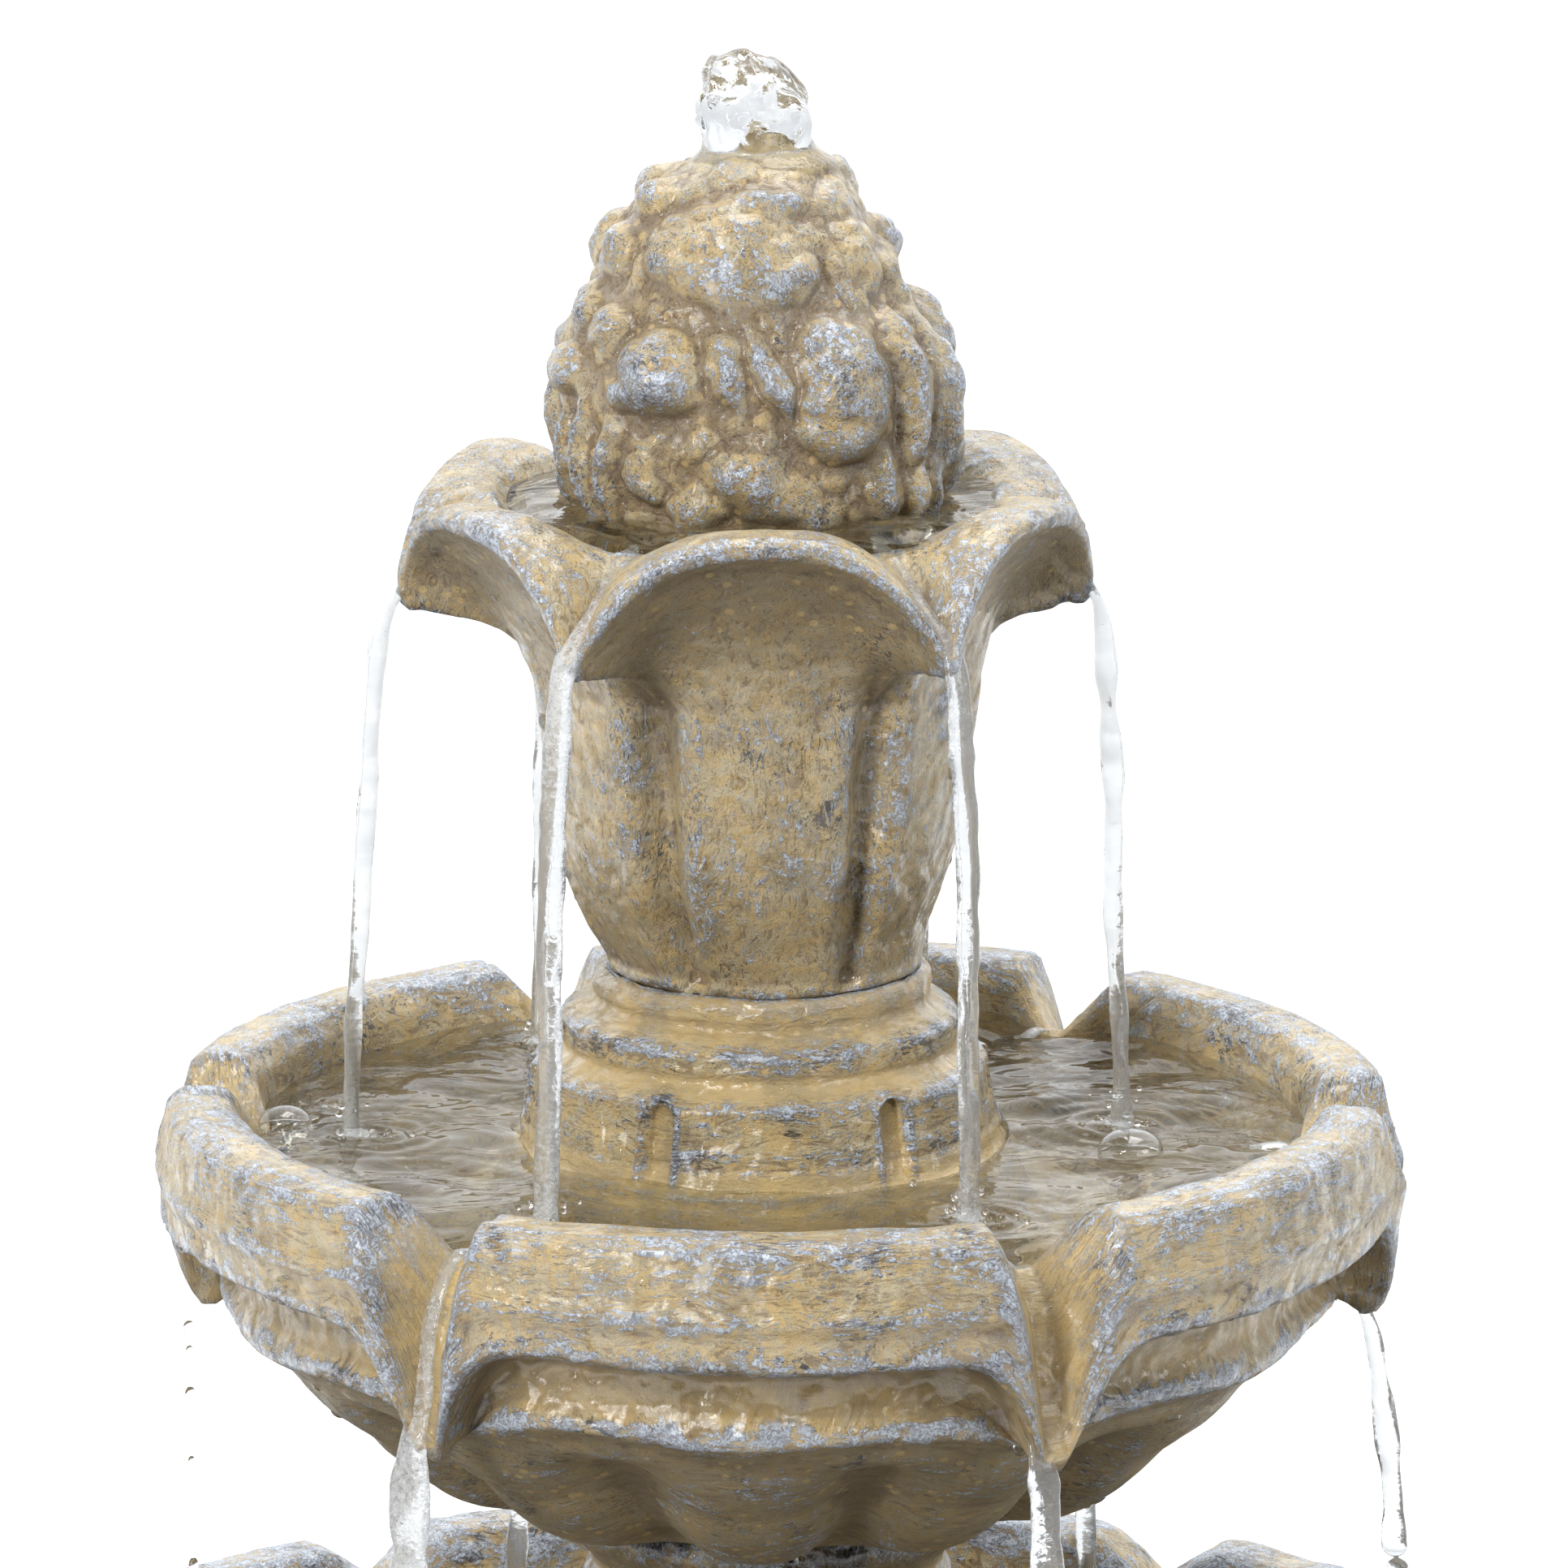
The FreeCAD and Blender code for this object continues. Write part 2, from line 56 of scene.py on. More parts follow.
# Heights of the water, and the turns of the spouts as angles from the front
LOWER_WATER = 315
MIDDLE_WATER = 595
TOP_WATER = 833
LOWER_FACING = 90
MIDDLE_FACING = -34
BOWL_FACING = -27
NICHE_FACING = -25.2


# ---------------------------------------------------------------- numbers and noise

def hashed(cells, seed):
    """Repeatable values in [-1, 1] for whole-number cells."""
    cells = cells.astype(np.int64).astype(np.uint32)
    mixed = cells[..., 0] * np.uint32(0x8DA6B343)
    mixed = mixed ^ (cells[..., 1] * np.uint32(0xD8163841))
    mixed = mixed ^ (cells[..., 2] * np.uint32(0xCB1AB31F))
    mixed = mixed + np.uint32(seed * 7919 + 17)
    mixed = (mixed ^ (mixed >> np.uint32(13))) * np.uint32(0x5BD1E995)
    mixed = (mixed ^ (mixed >> np.uint32(15))) * np.uint32(0x27D4EB2D)
    mixed = mixed ^ (mixed >> np.uint32(16))
    return mixed.astype(np.float64) / 2147483647.5 - 1


def noise(points, size, seed=0):
    """Smooth noise in about [-1, 1] whose bumps are size across, at points (..., 3)."""
    scaled = points / size + 1000
    cell = np.floor(scaled)
    part = scaled - cell
    part = part * part * (3 - 2 * part)
    total = np.zeros(points.shape[:-1])
    for corner in range(8):
        offset = np.array([corner & 1, corner >> 1 & 1, corner >> 2 & 1])
        weight = np.where(offset == 1, part, 1 - part).prod(axis=-1)
        total += weight * hashed(cell + offset, seed)
    return total


def fractal(points, size, octaves=3, seed=0):
    """Noise in octaves, each with half the size and height of the one before."""
    total = np.zeros(points.shape[:-1])
    for octave in range(octaves):
        total += noise(points, size / 2 ** octave, seed + octave) / 2 ** octave
    return total


def smoothstep(low, high, value):
    share = np.clip((value - low) / (high - low), 0, 1)
    return share * share * (3 - 2 * share)


def band(value, low, full, still, gone):
    """1 from full to still, and 0 outside low and gone. Either way round."""
    return smoothstep(low, full, value) * smoothstep(gone, still, value)


def facing_angle(facing):
    """The usual angle from +X, in radians, of a direction given from the front."""
    return math.radians(facing - 90)


def turned_away(angle, centre):
    """Signed difference of two angles, in (-pi, pi]."""
    return (angle - centre + math.pi) % (2 * math.pi) - math.pi


def to_spout(turns, first):
    """Angle from each turn to the nearest of the spouts that start at first."""
    away = np.abs(turned_away(turns, first) % SECTOR)
    return np.minimum(away, SECTOR - away)


# ---------------------------------------------------------------- grids of points

def even_turns(count):
    return np.arange(count) * 2 * math.pi / count


def spout_turns(first, radius, fine, coarse, reach):
    """Angles all the way round, closer together within reach of each spout."""
    across = np.linspace(0, SECTOR, 3000)
    away = radius * np.minimum(across, SECTOR - across)
    spacing = coarse + (fine - coarse) * np.exp(-(away / reach) ** 2)
    steps = np.cumsum(radius * (across[1] - across[0]) / spacing)
    count = int(steps[-1])
    sector = np.interp(np.arange(count) / count * steps[-1], steps, across)
    return np.concatenate([first + lobe * SECTOR + sector for lobe in range(LOBES)])


def along(stations, step, pick):
    """Walks a closed loop of stations and gives (from, to, share) for each sample.

    pick says which items of a station are points. The last item is the coarseness of the way to it.
    """
    samples = []
    for index, station in enumerate(stations):
        after = (index + 1) % len(stations)
        length = max(math.dist(station[item], stations[after][item]) for item in pick)
        count = max(1, round(length / (step * stations[after][-1])))
        samples += [(index, after, part / count) for part in range(count)]
    return samples


def on_segment(start, end, share, bulge):
    """A point on a line, or on a curve that stands out to the right by bulge times its length."""
    across = (end[1] - start[1], start[0] - end[0])
    lift = 4 * share * (1 - share) * bulge
    return (start[0] + (end[0] - start[0]) * share + across[0] * lift,
            start[1] + (end[1] - start[1]) * share + across[1] * lift)


def turned_grid(stations, step, turns):
    """Rows and columns of a plain turned shape. A station is (radius, height, bulge, coarseness)."""
    rows = []
    for here, there, share in along([((s[0], s[1]), s[-1]) for s in stations], step, [0]):
        start, end = stations[here], stations[there]
        rows.append(on_segment(start, end, share, end[2]))
    return swept(np.array(rows), turns)


def swept(profile, turns):
    """Radius and height grids of a profile that is the same at every turn."""
    return np.repeat(profile[:, :1], len(turns), axis=1), np.repeat(profile[:, 1:2], len(turns), axis=1)


def lobed_grid(stations, step, turns, first, arc_radius, flat=0.0, rise=1.0):
    """Rows and columns of a shape that changes from a spout's section to a lobe's, flat wide at the spout.

    A station is (lobe point, spout point, reach of the spout, power of its curve, bulge, coarseness).
    first is the turn of a spout, and reach is measured along a circle of arc_radius.
    """
    away = arc_radius * np.abs(turned_away(turns, first) % SECTOR)
    away = np.minimum(away, arc_radius * SECTOR - away)
    radius, height = [], []
    for here, there, share in along(stations, step, [0, 1]):
        start, end = stations[here], stations[there]
        lobe = on_segment(start[0], end[0], share, end[4])
        spout = on_segment(start[1], end[1], share, end[4])
        reach = start[2] + (end[2] - start[2]) * share
        power = start[3] + (end[3] - start[3]) * share
        mix = (1 - (1 - np.clip((away - flat) / (reach - flat), 0, 1)) ** power) ** rise
        radius.append(spout[0] + (lobe[0] - spout[0]) * mix)
        height.append(spout[1] + (lobe[1] - spout[1]) * mix)
    return np.array(radius), np.array(height)


def filled(stations, length):
    """Stations with the bulge 0 and the coarseness 1 added where they were left out."""
    return [station + (0, 1)[len(station) - length:] for station in stations]


def plain_stations(reach, points, coarse=1):
    """Stations whose lobe and spout are at the same point."""
    return [(point, point, reach, 1, 0, coarse) for point in points]


def placed(radius, height, turns):
    return np.stack([radius * np.cos(turns), radius * np.sin(turns), height], axis=-1)


def off_centre(grid, shift, near, far):
    """Moves what is further out than near sideways, by the whole shift from far on. Bores stay."""
    out = smoothstep(near, far, np.hypot(grid[..., 0], grid[..., 1]))
    moved = grid.copy()
    moved[..., 0] += shift * out
    return moved


def relaxed(grid, rounds):
    """Evens out a closed grid: every point moves towards the middle of its four neighbours."""
    for _ in range(rounds):
        sides = np.roll(grid, 1, 0) + np.roll(grid, -1, 0) + np.roll(grid, 1, 1) + np.roll(grid, -1, 1)
        grid = grid * 0.5 + sides * 0.125
    return grid


def grid_normals(grid):
    down = np.roll(grid, -1, 0) - np.roll(grid, 1, 0)
    over = np.roll(grid, -1, 1) - np.roll(grid, 1, 1)
    normal = np.cross(over, down)
    return normal / np.maximum(np.linalg.norm(normal, axis=-1, keepdims=True), 1e-9)


def runs_inwards(grid):
    """Whether a closed grid's rows and columns run so that its normals point into the solid."""
    diagonal = np.roll(np.roll(grid, -1, 0), -1, 1) - grid
    other = np.roll(grid, -1, 0) - np.roll(grid, -1, 1)
    return np.einsum("ijk,ijk->", np.cross(diagonal, other), grid - grid.mean(axis=(0, 1))) < 0


def outward(grid):
    """Unit normals that point out of a closed grid, whichever way its rows run."""
    normal = grid_normals(grid)
    return -normal if runs_inwards(grid) else normal


def mesh_from(name, points, faces, smooth=True):
    """A mesh object from points in metres and an array of faces with equal corner counts."""
    corners = faces.shape[1]
    mesh = bpy.data.meshes.new(name)
    mesh.vertices.add(len(points))
    mesh.vertices.foreach_set("co", points.astype(np.float32).ravel())
    mesh.loops.add(faces.size)
    mesh.loops.foreach_set("vertex_index", faces.astype(np.int32).ravel())
    mesh.polygons.add(len(faces))
    mesh.polygons.foreach_set("loop_start", np.arange(len(faces), dtype=np.int32) * corners)
    mesh.polygons.foreach_set("loop_total", np.full(len(faces), corners, dtype=np.int32))
    mesh.update(calc_edges=True)
    return linked(name, mesh, smooth)


def mesh_of(name, points, faces, smooth=True):
    """A mesh object from points in millimetres and faces of any corner counts."""
    mesh = bpy.data.meshes.new(name)
    mesh.from_pydata((np.array(points) * MM).tolist(), [], faces)
    mesh.update()
    return linked(name, mesh, smooth)


def linked(name, mesh, smooth):
    """A new object of the scene that shows a mesh."""
    mesh.polygons.foreach_set("use_smooth", np.full(len(mesh.polygons), smooth))
    piece = bpy.data.objects.new(name, mesh)
    bpy.context.scene.collection.objects.link(piece)
    return piece


def grid_faces(rows, columns, loop=True):
    """Quads of a grid closed round its columns, and closed round its rows too if loop is true."""
    row = np.arange(rows if loop else rows - 1)[:, None]
    column = np.arange(columns)[None, :]
    below = (row + 1) % rows
    beside = (column + 1) % columns
    quads = np.stack([row * columns + column, row * columns + beside,
                      below * columns + beside, below * columns + column], axis=-1)
    return quads.reshape(-1, 4)


def closed_mesh(name, grid):
    """A watertight mesh from a closed grid in millimetres, with its faces pointing outwards."""
    rows, columns = grid.shape[:2]
    faces = grid_faces(rows, columns)
    if runs_inwards(grid):
        faces = faces[:, ::-1]
    return mesh_from(name, grid.reshape(-1, 3) * MM, faces)


def store(piece, name, values):
    kind = "FLOAT" if values.ndim == 1 else "FLOAT_VECTOR"
    field = "value" if values.ndim == 1 else "vector"
    layer = piece.data.attributes.new(name, kind, "POINT")
    layer.data.foreach_set(field, values.astype(np.float32).ravel())


# ---------------------------------------------------------------- castings

def cast(name, grid, body, node, strokes, seed, wobble=1.0, chips=1.0, plain=None, rounding=2, raised=0.0):
    """Finishes a casting: soft corners, hand-made unevenness, worn edges, and what its paint needs to know.

    strokes says which way the brush went: "round" for bands, "up" for upright panels, or "any". raised marks
    broad high places that catch the pale paint.
    """
    grid = relaxed(grid, rounding)
    normal = outward(grid)
    swell = fractal(grid, 70, 2, seed) * 0.9 + fractal(grid, 18, 2, seed + 5) * 0.45
    grid = grid + normal * (swell * wobble)[..., None]
    soft = relaxed(grid, 14)
    edge = ((grid - soft) * normal).sum(-1)
    worn = smoothstep(0.25, 0.9, edge) * smoothstep(0.1, 0.7, fractal(grid, 9, 2, seed + 9))
    nicks = fractal(grid, 4.5, 2, seed + 13) * 0.16
    grid = grid + normal * (nicks - worn * 1.3 * chips)[..., None]
    near = relaxed(grid, 10)
    wide = relaxed(near, 60)
    facing_out = outward(grid)
    edge = ((grid - near) * facing_out).sum(-1) / 0.55 * 0.65
    edge = edge + ((near - wide) * facing_out).sum(-1) / 1.6 * 0.5 + raised
    piece = closed_mesh(name, grid)
    flat = grid.reshape(-1, 3)
    steps = np.linalg.norm(np.diff(grid[:, 0], axis=0, prepend=grid[-1:, 0]), axis=-1)
    travel = np.repeat(np.cumsum(steps)[:, None], grid.shape[1], axis=1).ravel()
    if strokes == "round":
        brush = np.stack([flat[:, 0] / 3.4, flat[:, 1] / 3.4, travel], axis=-1)
    elif strokes == "up":
        brush = np.stack([flat[:, 0], flat[:, 1], travel / 2.2], axis=-1)
    else:
        brush = flat
    drift = np.stack([fractal(flat, 26, 2, seed + 21 + axis) for axis in range(3)], axis=-1)
    store(piece, "brush", (brush + drift * 2.5) * MM)
    store(piece, "edge", np.clip(edge.ravel(), -1, 1))
    store(piece, "plain", np.zeros(len(flat)) if plain is None else plain.ravel())
    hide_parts(node)
    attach(piece, body)
    return piece


# Lobe point, spout point, reach of the spout along the rim, power of its curve, bulge, coarseness
MIDDLE_STATIONS = plain_stations(20, [(14.2, 515)]) + plain_stations(20, [(95, 515)], 6)
MIDDLE_STATIONS += plain_stations(30, [(140, 515)], 2) + filled([
    ((194, 585), (186, 580), 32, 1.5, 0.17), ((197, 605), (190, 590), 26, 1.15),
    ((201, 613.5), (193, 592.5), 25, 1.05), ((206, 615.5), (198, 589), 25, 1.05),
    ((217, 615), (204, 580.5), 25, 1.05), ((222, 611.5), (207, 571), 25, 1.1),
    ((224, 603), (209.5, 560.5), 24, 1.3), ((225, 594), (211.5, 549), 24, 1.7),
    ((227, 588), (214, 540), 27, 2.1), ((225, 582), (216, 534), 33, 2.5),
    ((225, 571), (216.5, 529), 43, 2.8), ((221, 568.5), (213.5, 524), 45, 2.8),
    ((212, 569), (208, 524), 47, 3.0), ((203, 566), (205, 526.5), 45, 3.0),
    ((200.5, 560), (202, 529.5), 42, 2.6), ((201, 549), (200, 531), 38, 2.2),
    ((205, 542), (200, 531.5), 34, 2.0), ((204.5, 537), (197, 530), 34, 2.0),
    ((198, 532.5), (193, 527), 34, 2.0), ((192.5, 527), (190, 524), 34, 1.0),
    ((160, 500), (159, 499), 34, 1.0, -0.02), ((128, 473.5), (128, 473.5), 30, 1.0, -0.05),
    ((90, 463.8), (90, 463.8), 30, 1.0, -0.04),
], 4)
MIDDLE_STATIONS += plain_stations(20, [(86, 463.3)]) + plain_stations(20, [(61.2, 463.3)], 6)
MIDDLE_STATIONS += plain_stations(20, [(61.2, 489.2), (14.2, 489.2)], 8)

URN_STATIONS = plain_stations(60, [
    (47.5, 650.3), (54.8, 650.3), (54.8, 658.8), (58, 659.6), (57.4, 664.5), (59.2, 669.5), (62, 677),
    (66, 687), (70, 698), (73.8, 712), (77, 730), (79, 748)])
URN_STATIONS += filled([
    ((80.5, 770), (83, 768), 60, 1.8), ((87, 791), (98, 781.5), 64, 2.2, -0.03),
    ((104, 816), (114, 785), 67, 2.5, -0.04), ((116, 828), (127, 787), 68, 2.6),
    ((122, 831.5), (133, 787), 68, 2.6), ((126.5, 833), (137, 789), 68, 2.6),
    ((128, 837), (137, 794), 68, 2.6), ((124, 840.5), (131, 799.5), 68, 2.6),
    ((115, 841.5), (122, 806), 67, 2.6), ((105, 840), (113, 813), 64, 2.5),
    ((97, 835.5), (104, 821), 60, 2.3), ((91, 827), (96, 828), 50, 2), ((86.5, 815.4), (87, 822), 40, 1.5),
], 4)
URN_STATIONS += plain_stations(40, [(62, 815.3)], 2)
URN_STATIONS += plain_stations(40, [(14.2, 815.3), (14.2, 799.6), (22, 799.6), (47.5, 791.5)], 6)

# How far the hand-made tiers stand off the centre line sideways, and how the spouts on the right are bent
MIDDLE_RIM = 225
MIDDLE_SHIFT = 5.6
SIDE_SPOUTS = (6, 5)
UPPER_SHIFT = -3.5


def middle_basin():
    """The six-lobed basin with its V spouts."""
    first = facing_angle(MIDDLE_FACING)
    turns = spout_turns(first, MIDDLE_RIM, 0.95, 2.3, 34)
    radius, height = lobed_grid(MIDDLE_STATIONS, 1.7, turns, first, MIDDLE_RIM, flat=4.5)
    outside = (np.arange(len(radius)) > len(radius) * 0.55)[:, None]
    # Twelve soft gadroons under the bowl, and a ridge above them that waves with them
    wave = np.cos((turns - first) * 12)
    pinch = 1 - np.abs(np.cos((turns - first + math.pi / 12) * 6)) ** 5
    under = smoothstep(528, 510, height) * smoothstep(92, 126, radius) * outside
    radius = radius + under * (wave * 1.2 + (pinch - 0.75) * 8)
    height = height - under * (wave * 1.0 + (pinch - 0.8) * 6)
    ridge = band(height, 547, 540, 534, 526) * outside * (radius > 193)
    height = height - ridge * wave * 1.8
    # Paint stays plain in the recess under the rim and in the gutters, and catches on the spouts' lips
    recess = band(height, 543, 549, 565, 571) * (radius < 212) * (radius > 196)
    away = MIDDLE_RIM * to_spout(turns, first)
    gutter = smoothstep(22, 13, away)[None, :] * (radius > 185) * (height > 519) * (1 - outside)
    plain = np.clip(recess * outside * 0.75 + gutter * 0.7, 0, 1)
    lip = np.exp(-((away - np.interp(height, [525, 545, 575, 600], [8, 11, 17, 22])) / 4.5) ** 2)
    lip = lip * band(height, 604, 596, 536, 528) * (radius > 204)
    radius = radius + lip * 1.8
    radius = radius * (1 + 0.012 * smoothstep(190, 215, radius))
    grid = off_centre(placed(radius, height, turns), MIDDLE_SHIFT - 1, 64, 110)
    spout = np.exp(-(away / 26) ** 2) * smoothstep(600, 575, height) * (radius > 188)
    spout = spout * np.maximum(np.cos(turns), 0) ** 4
    grid[..., 0] += spout * SIDE_SPOUTS[0]
    grid[..., 2] += spout * SIDE_SPOUTS[1]
    return cast("middle_basin_casting", grid, "middle_tier", "middle_basin", "round", 31,
                plain=np.clip(plain - lip, 0, 1), raised=lip * 0.55)


def flower_lean(x):
    """How far the hand-made flower stands to the left of true: it is narrower at the sides, and leans."""
    return -0.07 * np.clip(x, -137, 137) ** 3 / 137 ** 2 - 4


def urn():
    """The fluted urn and the flower-shaped bowl on it, one casting."""
    first = facing_angle(BOWL_FACING)
    turns = spout_turns(first, 130, 0.9, 1.9, 26)
    radius, height = lobed_grid(URN_STATIONS, 1.45, turns, first, 130, flat=1.5, rise=0.8)
    away = np.degrees(to_spout(turns, first))
    outside = (np.arange(len(radius)) < len(radius) * 0.62)[:, None]
    on_body = band(height, 658, 664, 770, 798) * outside
    groove = np.exp(-np.abs(away / 5.2) ** 2.6) * 8.5 - np.exp(-((away - 11) / 4) ** 2) * 1.6
    groove = groove * (0.7 + 0.3 * smoothstep(655, 690, height))
    sideways = np.sin(turns + math.pi / 2) ** 4
    at_spout = np.exp(-(away / 13) ** 2)
    height = height + smoothstep(770, 800, height) * sideways * (8 * at_spout - 3 * (1 - at_spout))
    height = height + smoothstep(775, 815, height) * smoothstep(0.1, 0.8, np.sin(turns)) * (1 - at_spout) * 5
    radius = radius - on_body * groove
    grid = off_centre(placed(radius, height, turns), UPPER_SHIFT, 56, 64)
    flower = smoothstep(765, 800, height) * smoothstep(60, 100, radius)
    grid[..., 0] += flower_lean(grid[..., 0]) * flower
    grid[..., 1] *= 1 + 0.008 * flower
    channel = smoothstep(9, 4, away)[None, :] * (1 - outside) * (radius > 90)
    return cast("urn_casting", grid, "top_tier", "urn", "up", 53, plain=channel * 0.7)


PLINTH_STATIONS = filled([
    (46.5, 515.3), (99.5, 515.3, 0, 6), (97.5, 560, 0, 2), (95, 582), (92, 592, -0.06), (88, 597, -0.1),
    (86.5, 603, 0.1), (85, 612, 0.05), (84, 621), (81.5, 626, 0.2), (75, 629.5, -0.05), (73.5, 633, -0.2),
    (73.5, 637.5, 0.1), (70, 643.5, 0.25), (64.5, 646.5), (62, 650, -0.2), (62.5, 653.5, 0.1),
    (59, 659, 0.25), (56, 659.6), (56, 650.2, 0, 4), (46.5, 650.2, 0, 4),
], 2)


def upper_plinth():
    """Stepped rings under the urn, with arched niches in the lowest band."""
    first = facing_angle(NICHE_FACING)
    turns = spout_turns(first, 84, 0.7, 1.7, 9)
    radius, height = turned_grid(PLINTH_STATIONS, 1.2, turns)
    away = 84 * to_spout(turns, first)
    front = (height > 590) & (height < 640) & (radius > 66)
    # Distance outside an arch 9 mm wide whose top is round
    above = np.maximum(height - 620, 0)
    gap = np.hypot(away, above) - 4.5
    foot = smoothstep(592, 600, height)
    niche = smoothstep(0.9, -0.9, gap) * foot * front
    rim = np.exp(-((gap - 2.4) / 1.7) ** 2) * foot * smoothstep(634, 628, height) * front
    radius = radius - niche * 3.4 + rim * 1.7
    grid = off_centre(placed(radius, height, turns), UPPER_SHIFT * 0.6, 57, 66)
    cove = band(height, 592, 596, 600, 603)
    cove = cove + band(height, 626, 628, 632, 636)
    cove = cove + smoothstep(643, 646, height) * 0.8
    skirt = smoothstep(599, 594, height)
    plain = np.clip(cove + skirt * 0.6 + niche * 0.8, 0, 1) * (radius > 58)
    plain = np.clip(plain - rim, 0, 1)
    return cast("upper_plinth_casting", grid, "top_tier", "upper_plinth", "round", 71, plain=plain,
                rounding=1, raised=rim * 0.5)


# Facing, height, half width, half height, lean, thickness, roundness of the top (1 leaf, 2 bud)
FRONT_LUMPS = [
    (-60, 946, 10, 9, 0, 6.5, 2), (-15, 955, 9, 7, 0, 4.5, 2), (8, 944, 17, 7, 4, 6, 2),
    (-14, 942, 10, 5, 0, 5, 2), (56, 946, 10, 10, -10, 3.5, 2), (-67, 926, 10, 10, 0, 6, 2),
    (-26, 922, 14, 7, -24, 6, 2), (-6, 928, 31, 17, 0, 6.5, 2), (16, 921, 14, 9, 18, 6.5, 2),
    (54, 927, 9, 15, -8, 4, 1), (70, 912, 8, 17, -10, 4, 1), (-53, 897, 10, 11, 0, 7, 2),
    (-30, 888, 15, 15, 10, 9, 2), (-38, 879, 9, 7, 0, 7, 2), (-7, 889, 8, 15, 16, 6.5, 1),
    (6, 887, 5, 18, 22, 6, 1), (28, 884, 17, 24, -8, 9.5, 2), (25, 867, 14, 9, -18, 8.5, 2),
    (54, 876, 11, 27, -10, 8, 1), (72, 872, 10, 28, -8, 8.5, 1), (-76, 884, 12, 11, 0, 8, 2),
    (-74, 905, 9, 9, 0, 6, 2), (-58, 851, 6, 22, 4, 7, 1), (-47, 850, 6, 20, -6, 7, 1),
    (-72, 850, 7, 22, 0, 7, 1), (-33, 850, 8, 8, 0, 5, 2), (2, 848, 21, 11, -12, 7, 2),
    (-18, 839, 12, 9, 8, 5, 2), (41, 846, 8, 17, 4, 6, 1), (53, 842, 7, 15, -4, 6, 1),
    (66, 840, 7, 15, 0, 5.5, 1), (18, 838, 11, 8, 0, 4, 2),
]

FINIAL_STATIONS = filled([
    (44.5, 815.3), (61, 815.3), (65, 828, 0.03), (69, 846, 0.02), (70.5, 868, 0.03), (66, 893, 0.04),
    (56.5, 920, 0.03), (47, 938, 0.03), (35, 951, 0.04), (22, 958.5, 0.04), (14, 960.5),
    (13.4, 954.2, 0, 2), (8.3, 954.2, 0, 2), (8.3, 936, 0, 6), (20.5, 930, 0, 6), (44.5, 900, 0, 6),
], 2)


def back_lumps():
    """Leaves and buds of the same kind for the side that faces away."""
    draw = np.random.default_rng(SEED)
    lumps = []
    rows = [(948, 5, 9, 8, 2), (925, 6, 11, 11, 2), (892, 6, 13, 16, 2), (868, 6, 8, 25, 1),
            (845, 8, 8, 15, 1)]
    for height, count, wide, tall, kind in rows:
        for step in range(count):
            facing = 88 + (step + 0.5) * 184 / count + draw.uniform(-5, 5)
            grow = draw.uniform(0.85, 1.2)
            lumps.append((facing, height + draw.uniform(-4, 4), wide * grow, tall * grow,
                          draw.uniform(-18, 18), 7 * grow, kind))
    return lumps


def finial():
    """The dome of leaves and buds, as bumps that run into each other."""
    turns = even_turns(500)
    radius, height = turned_grid(FINIAL_STATIONS, 1.0, turns)
    points = placed(radius, height, turns)
    rise = np.concatenate([[0], np.cumsum(np.hypot(np.diff(radius[:, 0]), np.diff(height[:, 0])))])
    top = int(np.argmax(height[:, 0]))
    travel = np.repeat(rise[:, None], radius.shape[1], axis=1)
    outside = smoothstep(16, 22, travel) * smoothstep(rise[top] + 1, rise[top] - 6, travel)
    warp_side = fractal(points, 17, 2, 301) * 3.2
    warp_up = fractal(points, 17, 2, 311) * 3.2
    relief = np.ones_like(radius)
    draw = np.random.default_rng(SEED + 3)
    small = [(draw.uniform(-180, 180), draw.uniform(826, 955), draw.uniform(4, 8), draw.uniform(5, 10),
              draw.uniform(-30, 30), draw.uniform(1.2, 2.6), draw.integers(1, 3)) for _ in range(30)]
    for facing, middle, wide, tall, lean, thick, kind in FRONT_LUMPS + back_lumps() + small:
        across = turned_away(turns, facing_angle(facing)) * np.maximum(radius, 20) + warp_side
        climb = travel - np.interp(middle, height[:top, 0], rise[:top]) + warp_up
        tilt = math.radians(lean)
        sideways = across * math.cos(tilt) + climb * math.sin(tilt)
        upright = climb * math.cos(tilt) - across * math.sin(tilt)
        narrowing = 1 + 0.3 * np.clip(upright / tall, -1, 1) * (2 - kind)
        away = (np.abs(sideways / (wide * narrowing)) ** 2.2 + np.abs(upright / tall) ** 2.2) ** (1 / 2.2)
        dome = np.clip(1 - (away / 1.18) ** 2, 0, 1) ** 0.95
        if kind == 1:
            dome = dome * (0.75 + 0.25 * np.clip(1.2 - np.abs(sideways) / (0.4 * wide), 0, 1))
        relief = relief + np.exp(dome * thick * 1.1 / 0.9) - 1
    relief = np.log(relief) * 0.9
    raised = np.clip(relief - 4, -2, 3) * 0.13
    creases = 1 - np.abs(fractal(points, 20, 3, 91)) * 2.2
    relief = relief + (fractal(points, 24, 3, 95) * 1.2 - creases * 1.5) * smoothstep(963, 950, height)
    relief = relief - 1.2 * smoothstep(880, 900, height)
    relief = relief * (1 - 0.5 * smoothstep(936, 956, height))
    grid = points + outward(points) * (relief * outside)[..., None]
    grid = off_centre(grid, UPPER_SHIFT, 22, 60)
    lean = smoothstep(865, 940, height) * smoothstep(15, 40, radius) * outside
    grid[..., 0] = grid[..., 0] * (1 - 0.05 * lean) - 4 * lean
    return cast("finial_casting", grid, "crown", "finial", "any", 97, wobble=0.6, chips=0.5, rounding=1,
                raised=raised)


